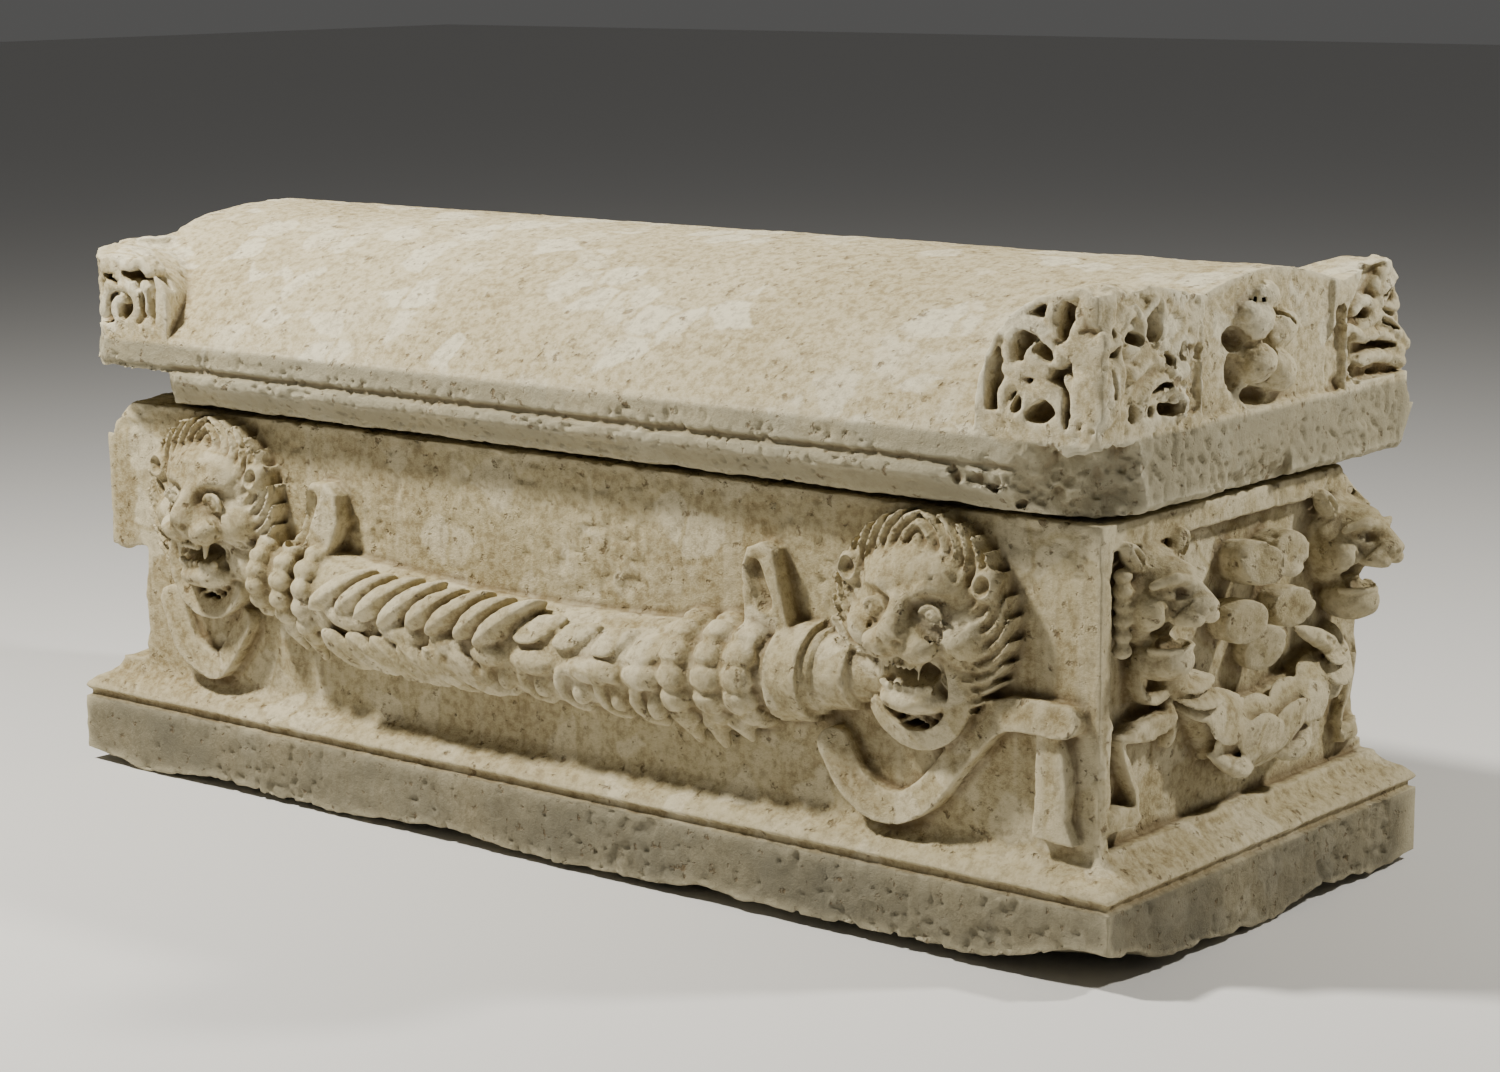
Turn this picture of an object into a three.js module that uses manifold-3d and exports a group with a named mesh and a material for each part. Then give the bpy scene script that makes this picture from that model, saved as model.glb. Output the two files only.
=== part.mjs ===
// Roman garland sarcophagus in limestone: a hollow chest carved from one block, and the
// barrel-vaulted lid that rests loose on its rim. Both are shown as they survive, with their
// broken corners. Lengths are millimetres. +X runs along the length to the right end, -Y is
// the carved front and +Z is up. The origin lies on the ground, under the middle of the chest.
import * as THREE from "three";
import { mergeVertices } from "three/addons/utils/BufferGeometryUtils.js";
import Module from "manifold-3d";

// The chest.
const PLINTH_HALF_LENGTH = 1025;
const PLINTH_HALF_DEPTH = 417;
const PLINTH_ARRIS = 115;
const WALL_INSET = 47;
const WALL_FOOT = 172;
const RIM = 613;
const WALL_THICKNESS = 95;
const CAVITY_FLOOR = 175;
const PANEL_SINK = 22;
const WALL_HALF_LENGTH = PLINTH_HALF_LENGTH - WALL_INSET;
const WALL_HALF_DEPTH = PLINTH_HALF_DEPTH - WALL_INSET;
// How far the chest's side stands in from the plinth's face, from the ground to the rim.
const CHEST_PROFILE = [
  [96, 0], [30, 7], [0, 24], [0, PLINTH_ARRIS - 3], [6, PLINTH_ARRIS + 1],
  [6, PLINTH_ARRIS + 7], [0, PLINTH_ARRIS + 10], [2, PLINTH_ARRIS + 18], [14, 144],
  [31, 153], [43, 162], [WALL_INSET, WALL_FOOT], [WALL_INSET, RIM],
];

// The lid.
const REST_GAP = 0.3;
const LID_HALF_DEPTH = 428;
const LID_LEFT = -995;
const LID_RIGHT = 1005;
const LID_BOTTOM = RIM + REST_GAP;
const EAVES = 728;
const RIDGE = 920;
const VAULT_RADIUS = 575;
const VAULT_STEPS = 18;
// How far the lid's edge stands in from its face, from its bed up to the spring of the vault.
const LID_PROFILE = [
  [34, LID_BOTTOM], [2, 663], [0, 667], [0, 680], [6, 683], [6, 688], [0, 691], [0, EAVES],
];

// The carving.
const LION_LEFT = -707;
const LION_RIGHT = 708;
const LION_HEIGHT = 470;
const GARLAND_SPAN = 640;
const GARLAND_LOW = 322;
const GARLAND_RISE = 57;
const END_HEAD_OFFSET = 252;
const END_HEAD_HEIGHT = 498;
const STONE_COLOUR = 0xcdc1a4;
const LID_COLOUR = 0xd3c9b0;
const STONE_ROUGHNESS = 0.88;
const DEGREE = Math.PI / 180;

const wasm = await Module();
wasm.setup();

// ---- joining and cutting ----

function solid(geometry, matrix = new THREE.Matrix4()) {
  const bare = geometry.clone().applyMatrix4(matrix);
  bare.deleteAttribute("normal");
  bare.deleteAttribute("uv");
  const merged = mergeVertices(bare, 1e-3);
  return new wasm.Manifold(new wasm.Mesh({
    numProp: 3,
    vertProperties: new Float32Array(merged.attributes.position.array),
    triVerts: new Uint32Array(merged.index.array),
  }));
}

function joined(solids) {
  let row = solids.slice();
  while (row.length > 1) {
    const next = [];
    for (let i = 0; i < row.length; i += 2) {
      next.push(i + 1 < row.length ? row[i].add(row[i + 1]) : row[i]);
    }
    row = next;
  }
  return row[0];
}

function cutAway(stone, cutters) {
  return cutters.reduce((left, cutter) => left.subtract(cutter), stone);
}

function meshOf(stone, name, colour) {
  const { numProp, vertProperties, triVerts } = stone.getMesh();
  const geometry = new THREE.BufferGeometry();
  const corners = new THREE.BufferAttribute(new Float32Array(vertProperties), numProp);
  geometry.setAttribute("position", corners);
  geometry.setIndex(new THREE.BufferAttribute(new Uint32Array(triVerts), 1));
  geometry.computeVertexNormals();
  const material = new THREE.MeshStandardMaterial({
    color: colour,
    roughness: STONE_ROUGHNESS,
    metalness: 0,
  });
  const mesh = new THREE.Mesh(geometry, material);
  mesh.name = name;
  return mesh;
}

// ---- the four upright faces: x runs along the face, y up it and z out of it ----

function faceFrame(along, outward, origin) {
  const up = new THREE.Vector3(0, 0, 1);
  return new THREE.Matrix4().makeBasis(along, up, outward).setPosition(origin);
}

const AXIS_X = new THREE.Vector3(1, 0, 0);
const AXIS_Y = new THREE.Vector3(0, 1, 0);
const MINUS_X = new THREE.Vector3(-1, 0, 0);
const MINUS_Y = new THREE.Vector3(0, -1, 0);
const frontFace = (y) => faceFrame(AXIS_X, MINUS_Y, new THREE.Vector3(0, -y, 0));
const rightFace = (x) => faceFrame(AXIS_Y, AXIS_X, new THREE.Vector3(x, 0, 0));
const leftFace = (x) => faceFrame(MINUS_Y, MINUS_X, new THREE.Vector3(-x, 0, 0));

// ---- forms, each built in a face's own x, y and z ----

function placed(x, y, z, turn = 0, tilt = 0, lean = 0) {
  const spin = new THREE.Euler(tilt * DEGREE, lean * DEGREE, turn * DEGREE, "ZXY");
  return new THREE.Matrix4().makeRotationFromEuler(spin).setPosition(x, y, z);
}

// An egg-shaped swelling with the three half-sizes given.
function swelling(x, y, z, halfX, halfY, halfZ, turn = 0, round = 8) {
  const ball = new THREE.SphereGeometry(1, round, Math.ceil(round / 2) + 1);
  ball.rotateX(90 * DEGREE);
  ball.scale(halfX, halfY, halfZ);
  return solid(ball, placed(x, y, z, turn));
}

// A bud or bead with few facets.
function bead(x, y, z, halfX, halfY, halfZ, turn = 0) {
  const bud = new THREE.IcosahedronGeometry(1, 0);
  bud.scale(halfX, halfY, halfZ);
  return solid(bud, placed(x, y, z, turn));
}

// A long pointed leaf or pod lying in the face from one tip to the other.
function leaf(fromX, fromY, toX, toY, z, width, thickness) {
  const length = Math.hypot(toX - fromX, toY - fromY);
  const turn = Math.atan2(toY - fromY, toX - fromX) / DEGREE;
  const pod = new THREE.SphereGeometry(1, 4, 3);
  pod.rotateZ(90 * DEGREE);
  pod.scale(length / 2, width / 2, thickness);
  return solid(pod, placed((fromX + toX) / 2, (fromY + toY) / 2, z, turn));
}

function block(x0, x1, y0, y1, z0, z1) {
  const box = new THREE.BoxGeometry(x1 - x0, y1 - y0, z1 - z0);
  box.translate((x0 + x1) / 2, (y0 + y1) / 2, (z0 + z1) / 2);
  return solid(box);
}

function slab(shape, bottom, top, curveSegments = 4) {
  const depth = top - bottom;
  const plate = new THREE.ExtrudeGeometry(shape, { depth, bevelEnabled: false, curveSegments });
  plate.translate(0, 0, bottom);
  return solid(plate);
}

// A flat band of even width that follows a smooth path through the points.
function band(points, width, bottom, top, steps = 9) {
  const path = new THREE.SplineCurve(points.map(([x, y]) => new THREE.Vector2(x, y)));
  const near = [];
  const far = [];
  for (let i = 0; i <= steps; i += 1) {
    const at = path.getPointAt(i / steps);
    const side = path.getTangentAt(i / steps).rotateAround(new THREE.Vector2(), 90 * DEGREE);
    near.push(at.clone().addScaledVector(side, width / 2));
    far.unshift(at.clone().addScaledVector(side, -width / 2));
  }
  return slab(new THREE.Shape([...near, ...far]), bottom, top);
}

// A band bent round part of a circle, from one angle to another.
function arcBand(x, y, radius, width, fromAngle, toAngle, bottom, top, steps = 8) {
  const points = [];
  for (let i = 0; i <= 6; i += 1) {
    const angle = (fromAngle + ((toAngle - fromAngle) * i) / 6) * DEGREE;
    points.push([x + radius * Math.cos(angle), y + radius * Math.sin(angle)]);
  }
  return band(points, width, bottom, top, steps);
}

// A round bar that follows heightAt(x) along a face, with its own half-size at each place.
function swag(fromX, toX, heightAt, halfSizeAt, flatness, sides, steps) {
  const bar = new THREE.CylinderGeometry(1, 1, 1, sides, steps);
  bar.rotateZ(-90 * DEGREE);
  const place = bar.attributes.position;
  for (let i = 0; i < place.count; i += 1) {
    const x = fromX + (toX - fromX) * (place.getX(i) + 0.5);
    const slope = (heightAt(x + 1) - heightAt(x - 1)) / 2;
    const across = place.getY(i) * halfSizeAt(x);
    const lean = Math.atan(slope);
    const shiftX = -across * Math.sin(lean);
    const shiftY = across * Math.cos(lean);
    const shiftZ = place.getZ(i) * halfSizeAt(x) * flatness;
    place.setXYZ(i, x + shiftX, heightAt(x) + shiftY, shiftZ);
  }
  return solid(bar);
}

// A rough lump taken out of the stone, in world axes.
function lump(x, y, z, halfX, halfY, halfZ, turn, tilt = 0, lean = 0) {
  const rock = new THREE.DodecahedronGeometry(1, 0);
  rock.scale(halfX, halfY, halfZ);
  return solid(rock, placed(x, y, z, turn, tilt, lean));
}

function onFace(frame, pieces) {
  return joined(pieces).transform(frame.elements);
}

// ---- the blocks ----

// A moulded block: one profile run along both pairs of sides and mitred at the corners.
function mouldedBlock(profile, left, right, halfDepth) {
  const across = new THREE.Shape();
  const along = new THREE.Shape();
  const rightSide = profile.map(([inset, z]) => [inset, z]);
  const leftSide = rightSide.slice().reverse();
  across.setFromPoints([
    ...rightSide.map(([inset, z]) => new THREE.Vector2(halfDepth - inset, z)),
    ...leftSide.map(([inset, z]) => new THREE.Vector2(inset - halfDepth, z)),
  ]);
  along.setFromPoints([
    ...rightSide.map(([inset, z]) => new THREE.Vector2(right - inset, z)),
    ...leftSide.map(([inset, z]) => new THREE.Vector2(left + inset, z)),
  ]);
  const lengthwise = slab(across, left - 10, right + 10).transform(rightFace(0).elements);
  const crosswise = slab(along, -halfDepth - 10, halfDepth + 10);
  return lengthwise.intersect(crosswise.transform(frontFace(0).elements));
}

// ---- the animal heads ----

// A lion's face looking straight out, round whose centre (x, y) everything is set.
function lionFace(x, y, mouthSide) {
  const at = (dx, dy, z, a, b, c, turn = 0, round = 8) =>
    swelling(x + dx, y + dy, z, a, b, c, turn, round);
  const pieces = [
    at(0, 0, 8, 116, 84, 62, 0, 10),
    at(0, 20, 58, 19, 52, 30, 0, 6),
    at(0, -16, 78, 27, 22, 30, 0, 6),
    at(0, -132, 22, 50, 24, 44, 0, 6),
    block(x - 46, x + 46, y - 122, y - 104, 0, 48),
  ];
  for (const side of [-1, 1]) {
    pieces.push(
      at(side * 34, -32, 62, 34, 24, 34, side * 12, 6),
      at(side * 50, 32, 54, 38, 15, 22, side * 24, 6),
      at(side * 78, -18, 30, 34, 38, 34, 0, 6),
      at(side * 104, 42, 30, 22, 28, 34, side * 30, 6),
      bead(x + side * 47, y + 8, 58, 17, 11, 14),
    );
  }
  pieces.push(...mane(x, y - 12, 12));
  const ringFrom = mouthSide > 0 ? 168 : 12;
  const ringTo = mouthSide > 0 ? 320 : -140;
  pieces.push(arcBand(x, y - 100, 74, 32, ringFrom, ringTo, -20, 50));
  return joined(pieces);
}

// Curved locks set round a face like rays, leaving the chin free.
function mane(x, y, count) {
  const locks = [swelling(x, y + 6, 0, 138, 132, 34, 0, 10)];
  for (let i = 0; i <= count; i += 1) {
    const angle = (-32 + (244 * i) / count) * DEGREE;
    const swirl = 24 * DEGREE * (angle > 90 * DEGREE ? 1 : -1);
    const fromX = x + 112 * Math.cos(angle);
    const fromY = y + 112 * Math.sin(angle);
    const toX = x + 154 * Math.cos(angle + swirl / 3);
    const toY = y + 154 * Math.sin(angle + swirl / 3);
    locks.push(leaf(fromX, fromY, toX, toY, 14, 40, 32));
  }
  return locks;
}

// A smaller head with pricked ears, jutting from an end of the chest.
function catHead(x, y) {
  const at = (dx, dy, z, a, b, c, round = 6) =>
    swelling(x + dx, y + dy, z, a, b, c, 0, round);
  const pieces = [
    at(0, 8, 14, 68, 70, 62, 8),
    at(0, 24, 54, 46, 34, 44, 8),
    at(0, 0, 84, 30, 27, 40, 8),
    at(0, -68, 46, 40, 22, 50),
  ];
  for (const side of [-1, 1]) {
    pieces.push(
      at(side * 20, -12, 68, 20, 18, 36),
      leaf(x + side * 36, y + 50, x + side * 62, y + 86, 34, 28, 20),
      bead(x + side * 28, y + 20, 74, 12, 9, 14),
      leaf(x + side * 52, y + 32, x + side * 10, y + 40, 68, 18, 18),
    );
  }
  return joined(pieces);
}

// Petals round a middle knob, with one petal pointing down.
function rosette(x, y, bottom, radius, petalLength, petalWidth, height) {
  const pieces = [swelling(x, y, bottom, 24, 24, height * 0.9, 0, 6)];
  for (let i = 0; i < 5; i += 1) {
    const angle = 270 + 72 * i;
    const centreX = x + radius * Math.cos(angle * DEGREE);
    const centreY = y + radius * Math.sin(angle * DEGREE);
    const ball = new THREE.CylinderGeometry(0.8, 1, 1, 7);
    ball.rotateX(90 * DEGREE);
    ball.scale(petalLength / 2, petalWidth / 2, height + 20);
    pieces.push(solid(ball, placed(centreX, centreY, bottom + height / 2 - 10, angle)));
  }
  return joined(pieces);
}

// ---- the front of the chest ----

const garlandHeight = (x) => GARLAND_LOW + GARLAND_RISE * (x / GARLAND_SPAN) ** 2;

function garlandHalfSize(x) {
  const out = Math.abs(x);
  const rings = x < 0
    ? [[562, 592, 72], [495, 528, 82], [440, 474, 86]]
    : [[465, 520, 74], [398, 440, 82], [338, 390, 86], [280, 328, 88]];
  const ring = rings.find(([from, to]) => out >= from && out <= to);
  if (ring) {
    return ring[2];
  }
  if (out > 600) {
    return 46;
  }
  return out > 540 ? 58 : 82 - 22 * Math.max(0, (out - 400) / 140);
}

function frontGarland() {
  const pieces = [
    swag(-655, -594, garlandHeight, garlandHalfSize, 1, 8, 1),
    swag(-600, 600, garlandHeight, garlandHalfSize, 1, 8, 32),
    swag(594, 655, garlandHeight, garlandHalfSize, 1, 8, 1),
  ];
  for (const ringX of [-510, -457]) {
    for (let i = 0; i < 5; i += 1) {
      const angle = (72 - 34 * i) * DEGREE;
      const out = garlandHalfSize(ringX) * 0.92;
      const y = garlandHeight(ringX) + out * Math.sin(angle);
      pieces.push(bead(ringX, y, out * Math.cos(angle), 19, 18, 16));
    }
  }
  for (let i = 0; i < 7; i += 1) {
    const x = -392 + 58 * i;
    pieces.push(leaf(x, 346, x + 96, 410, 52, 34, 32));
  }
  for (const [x, length] of [[-360, 100], [-225, 100], [-108, 84], [-22, 84], [78, 110], [205, 120]]) {
    const y = garlandHeight(x) - 6;
    pieces.push(leaf(x - length / 2, y + 6, x + length / 2, y - 6, 78, 40, 24));
  }
  for (let i = 0; i < 6; i += 1) {
    const x = -385 + 62 * i;
    pieces.push(leaf(x, 296, x + 88, 232, 40, 44, 30));
  }
  for (let i = 0; i < 4; i += 1) {
    const x = 12 + 70 * i;
    pieces.push(leaf(x - 18, 230, x + 46, 292, 40, 42, 34));
  }
  return joined(pieces);
}

function frontRibbons() {
  const tail = new THREE.Shape();
  tail.moveTo(885, 172 + 16);
  tail.lineTo(890, 330);
  tail.lineTo(925, 338);
  tail.quadraticCurveTo(946, 280, 940, 218);
  tail.lineTo(954, 184);
  return [
    band([[556, 268], [590, 215], [650, 190], [712, 218], [775, 290], [838, 348], [938, 352]],
      46, -10, 34, 12),
    slab(tail, -10, 22),
    band([[-822, 300], [-786, 226], [-724, 198], [-688, 224], [-648, 282]], 44, -10, 30, 9),
  ];
}

// Two pierced lugs above the garland, each with its sunk slot.
function frontLugs() {
  const left = new THREE.Shape();
  left.moveTo(-530, 405);
  left.lineTo(-488, 512);
  left.quadraticCurveTo(-474, 534, -440, 530);
  left.quadraticCurveTo(-410, 524, -412, 470);
  left.lineTo(-440, 405);
  const right = new THREE.Shape();
  right.moveTo(402, 405);
  right.lineTo(396, 500);
  right.quadraticCurveTo(400, 536, 434, 538);
  right.quadraticCurveTo(456, 534, 462, 500);
  right.lineTo(488, 405);
  const slotLeft = leaf(-520, 412, -462, 512, 36, 26, 26);
  const slotRight = leaf(414, 506, 444, 448, 36, 28, 26);
  return [slab(left, -10, 34).subtract(slotLeft), slab(right, -10, 34).subtract(slotRight)];
}

function frontCarving() {
  return onFace(frontFace(WALL_HALF_DEPTH), [
    lionFace(LION_LEFT, LION_HEIGHT, 1),
    lionFace(LION_RIGHT, LION_HEIGHT, -1),
    frontGarland(),
    ...frontRibbons(),
    ...frontLugs(),
  ]);
}

// ---- the ends of the chest ----

const endSwagHeight = (x) => 270 + 118 * (x / 200) ** 2;
const endSwagHalfSize = (x) => 54 - 20 * Math.abs(x / 200);

function rightEndCarving() {
  const pieces = [
    catHead(-END_HEAD_OFFSET, END_HEAD_HEIGHT),
    catHead(END_HEAD_OFFSET, END_HEAD_HEIGHT),
    rosette(0, 452, 0, 64, 72, 66, 78),
    swag(-195, 195, endSwagHeight, endSwagHalfSize, 1.5, 8, 8),
    arcBand(-END_HEAD_OFFSET, 392, 54, 20, 175, 330, -10, 40, 6),
    band([[-345, 322], [-290, 336], [-215, 318]], 30, -10, 44, 5),
    band([[-330, 320], [-344, 262], [-322, 205]], 48, -10, 30, 5),
    band([[318, 318], [332, 262], [312, 205]], 48, -10, 30, 5),
  ];
  for (let i = -1; i <= 1; i += 1) {
    const x = 96 * i;
    const y = endSwagHeight(x);
    const slope = (i * 118 * 2 * 96) / (200 * 200);
    pieces.push(
      leaf(x - 48, y - 30 - 48 * slope, x + 48, y - 30 + 48 * slope, 46, 34, 26),
      leaf(x - 50, y + 24 - 50 * slope, x + 50, y + 24 + 50 * slope, 44, 50, 26),
    );
  }
  return onFace(rightFace(WALL_HALF_LENGTH - PANEL_SINK), pieces);
}

// The left end keeps the same scheme, only blocked out, with a raised strip at its front edge.
function leftEndCarving() {
  const strip = new THREE.Shape();
  strip.moveTo(WALL_HALF_DEPTH - 30, 365);
  strip.lineTo(WALL_HALF_DEPTH, 365);
  strip.lineTo(WALL_HALF_DEPTH, 560);
  strip.lineTo(WALL_HALF_DEPTH - 30, 520);
  return onFace(leftFace(WALL_HALF_LENGTH), [
    slab(strip, -30, 19),
    swelling(-240, 475, 0, 82, 88, 42),
    swelling(240, 475, 0, 82, 88, 42),
    swelling(0, 455, 0, 84, 84, 30),
    swag(-220, 220, endSwagHeight, endSwagHalfSize, 0.8, 8, 6),
  ]);
}

// ---- the chest ----

function chestLosses() {
  return [
    lump(-1010, -395, 292, 108, 62, 84, 12, 4),
    lump(-1006, -380, 232, 94, 60, 70, -14, 30),
    lump(-1000, -410, 660, 110, 90, 76, 12, 0, 22),
    lump(1002, 415, 300, 60, 74, 150, 24),
    lump(1010, 420, 660, 120, 110, 110, 12, 28),
    lump(1010, -420, -6, 230, 110, 60, 24, 12),
    lump(560, -452, -22, 330, 70, 50, 2, 6),
    lump(-420, -456, -26, 420, 70, 44, -1, 8),
    lump(-1062, -160, -16, 80, 220, 66, -6),
  ];
}

function chest() {
  const halfX = WALL_HALF_LENGTH - WALL_THICKNESS;
  const halfY = WALL_HALF_DEPTH - WALL_THICKNESS;
  const outside = mouldedBlock(
    CHEST_PROFILE, -PLINTH_HALF_LENGTH, PLINTH_HALF_LENGTH, PLINTH_HALF_DEPTH);
  const panel = block(WALL_HALF_LENGTH - PANEL_SINK, WALL_HALF_LENGTH + 60,
    20 - WALL_HALF_DEPTH, WALL_HALF_DEPTH + 60, WALL_FOOT, 578);
  const carved = joined([
    outside.subtract(panel),
    frontCarving(),
    rightEndCarving(),
    leftEndCarving(),
  ]);
  const cavity = block(-halfX, halfX, -halfY, halfY, CAVITY_FLOOR, RIM + 50);
  const aboveRim = block(-1200, 1200, -600, 600, RIM, RIM + 200);
  return cutAway(carved, [cavity, aboveRim, ...chestLosses()]);
}

// ---- the lid ----

// The barrel vault's section over the full depth, from eaves to eaves.
function vaultedBlock() {
  const centre = RIDGE - VAULT_RADIUS;
  const spring = Math.acos(LID_HALF_DEPTH / VAULT_RADIUS);
  const section = new THREE.Shape();
  section.moveTo(LID_HALF_DEPTH, LID_BOTTOM - 40);
  section.lineTo(LID_HALF_DEPTH, EAVES);
  section.absarc(0, centre, VAULT_RADIUS, spring, Math.PI - spring, false);
  section.lineTo(-LID_HALF_DEPTH, LID_BOTTOM - 40);
  const vault = slab(section, LID_LEFT, LID_RIGHT, VAULT_STEPS);
  return vault.transform(rightFace(0).elements);
}

// The front and back edges carry the moulding, and both ends are plain.
function lidEdge() {
  const section = new THREE.Shape();
  const points = [...LID_PROFILE, [0, RIDGE + 60]];
  section.setFromPoints([
    ...points.map(([inset, z]) => new THREE.Vector2(LID_HALF_DEPTH - inset, z)),
    ...points.reverse().map(([inset, z]) => new THREE.Vector2(inset - LID_HALF_DEPTH, z)),
  ]);
  return slab(section, LID_LEFT, LID_RIGHT).transform(rightFace(0).elements);
}

// A corner horn: a quarter-round outline from the front met by one from the end. Its top may
// be worn lower over the front than at the back.
function cornerHorn(frontWidth, endWidth, top, wear = 0) {
  const width = new THREE.Shape();
  width.moveTo(0, EAVES - 30);
  width.lineTo(0, top);
  width.quadraticCurveTo(-frontWidth * 0.85, top - 8, -frontWidth, EAVES + 16);
  width.lineTo(-frontWidth, EAVES - 30);
  const depth = new THREE.Shape();
  depth.moveTo(0, EAVES - 30);
  depth.lineTo(endWidth, EAVES - 30);
  depth.lineTo(endWidth, top - 34);
  depth.quadraticCurveTo(endWidth * 0.4, top + 4 - wear, 0, top - wear);
  const fromFront = slab(width, -endWidth, 0).transform(frontFace(LID_HALF_DEPTH).elements);
  const fromEnd = slab(depth, -frontWidth, 0).transform(
    faceFrame(AXIS_Y, AXIS_X, new THREE.Vector3(0, -LID_HALF_DEPTH, 0)).elements);
  return fromFront.intersect(fromEnd);
}

function moved(stone, x, flipX = false, flipY = false) {
  const shift = new THREE.Matrix4().makeScale(flipX ? -1 : 1, flipY ? -1 : 1, 1);
  return stone.transform(shift.setPosition(x, 0, 0).elements);
}

// Scrolls of acanthus on the front-right horn's front: x is measured back from the corner.
function hornFrontScrolls() {
  const corner = LID_RIGHT;
  return [
    arcBand(corner - 112, 848, 30, 22, -60, 230, -4, 16),
    arcBand(corner - 100, 774, 44, 24, 10, 175, -4, 16),
    arcBand(corner - 66, 890, 26, 22, 70, 250, -4, 16),
    block(corner - 150, corner - 78, 806, 826, -4, 16),
    band([[corner - 56, 756], [corner - 44, 800], [corner - 62, 842]], 22, -4, 18, 5),
    band([[corner - 20, 752], [corner - 16, 820], [corner - 40, 864]], 24, -4, 18, 5),
  ];
}

function hornEndScrolls() {
  const corner = -LID_HALF_DEPTH;
  return [
    arcBand(corner + 92, 872, 30, 22, -30, 210, -4, 16),
    arcBand(corner + 172, 836, 30, 22, 30, 300, -4, 16),
    arcBand(corner + 140, 768, 40, 24, 5, 175, -4, 16),
    band([[corner + 24, 752], [corner + 20, 820], [corner + 44, 880]], 26, -4, 18, 5),
    band([[corner + 84, 752], [corner + 76, 800], [corner + 110, 824]], 22, -4, 16, 5),
  ];
}

// The sunk ground of a horn's face, leaving a rim, with its scrolls standing in it.
function hornFace(frame, corner, direction, width, scrolls) {
  const ground = new THREE.Shape();
  const inner = corner - direction * 8;
  const outer = corner - direction * (width - 26);
  ground.moveTo(inner, EAVES + 24);
  ground.lineTo(inner, 906);
  ground.quadraticCurveTo(corner - direction * width * 0.72, 900, outer, EAVES + 40);
  ground.lineTo(outer, EAVES + 24);
  const sunk = slab(ground, -18, 30).transform(frame.elements);
  const lifted = onFace(frame.clone().multiply(new THREE.Matrix4().setPosition(0, 0, -18)),
    scrolls);
  return { sunk, lifted };
}

// A three-sided piece split off the front-left corner, from one height to another.
function cornerSplit(alongFront, alongEnd, bottom, top) {
  const outer = -LID_HALF_DEPTH - 20;
  const corner = new THREE.Shape();
  corner.moveTo(LID_LEFT - 20, outer);
  corner.lineTo(LID_LEFT + alongFront + 20, outer);
  corner.lineTo(LID_LEFT - 20, alongEnd - LID_HALF_DEPTH + 20);
  return slab(corner, bottom, top);
}

function lidLosses() {
  return [
    cornerSplit(65, 53, 600, 900),
    cornerSplit(245, 213, 600, 682),
    lump(1010, -440, 690, 132, 84, 62, 18, 8),
    lump(884, -462, 676, 84, 60, 58, -12, 14),
    lump(1040, -360, 672, 62, 96, 52, 6, 20),
    lump(1046, -20, 590, 66, 120, 60, 8, 12),
    lump(1000, 470, 620, 150, 76, 84, -6, 20),
    lump(1006, 470, 848, 124, 76, 132, -8),
    lump(1000, 452, 920, 150, 92, 62, -14, 16),
    lump(-1050, 300, 640, 90, 130, 64, 10, 8),
  ];
}

function lid() {
  const hornWidth = 194;
  const hornDepth = 253;
  const horns = [
    moved(cornerHorn(hornWidth, hornDepth, 932), LID_RIGHT),
    moved(cornerHorn(hornWidth, hornDepth, 916, 26), LID_RIGHT, false, true),
    moved(cornerHorn(hornWidth + 34, hornDepth, 876, 20), LID_LEFT, true),
    moved(cornerHorn(hornWidth + 20, hornDepth, 872, 30), LID_LEFT, true, true),
  ];
  const frontRight = hornFace(
    frontFace(LID_HALF_DEPTH), LID_RIGHT, 1, hornWidth, hornFrontScrolls());
  const endRight = hornFace(
    rightFace(LID_RIGHT), -LID_HALF_DEPTH, -1, hornDepth, hornEndScrolls());
  const backRight = hornFace(
    rightFace(LID_RIGHT), LID_HALF_DEPTH, 1, hornDepth, [
      arcBand(LID_HALF_DEPTH - 150, 806, 30, 22, 20, 260, -4, 16),
      band([[230, 790], [300, 800], [370, 776]], 26, -4, 18, 5),
      band([[230, 756], [300, 762], [380, 752]], 24, -4, 18, 5),
      band([[260, 836], [320, 852], [368, 872]], 24, -4, 18, 5),
    ]);
  const frontLeft = hornFace(
    frontFace(LID_HALF_DEPTH), LID_LEFT, -1, hornWidth + 34, [
      arcBand(-872, 772, 30, 22, -40, 200, -4, 16),
      band([[-905, 800], [-870, 822], [-812, 816]], 22, -4, 16, 5),
      arcBand(-818, 772, 20, 18, 60, 330, -4, 16, 6),
      band([[-905, 850], [-870, 846], [-836, 858]], 24, -4, 16, 5),
    ]);
  const faces = [frontRight, endRight, backRight, frontLeft];
  const rough = joined([vaultedBlock().intersect(lidEdge()), ...horns]);
  const sunk = cutAway(rough, faces.map((face) => face.sunk));
  const flower = onFace(rightFace(LID_RIGHT), [rosette(-14, 812, -6, 48, 62, 46, 40)]);
  const carved = joined([sunk, flower, ...faces.map((face) => face.lifted)]);
  return cutAway(carved, lidLosses());
}

const sarcophagus = new THREE.Group();
sarcophagus.add(meshOf(chest(), "chest", STONE_COLOUR));
sarcophagus.add(meshOf(lid(), "lid", LID_COLOUR));

export default sarcophagus;
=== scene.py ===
"""A Roman garland sarcophagus in weathered limestone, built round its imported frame.

Chest and lid are each carved as one block: a grid of signed distances, in millimetres, is
shaped by adding and cutting forms as a carver would, then turned into one closed mesh.
"""
import math
from collections import namedtuple

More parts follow.
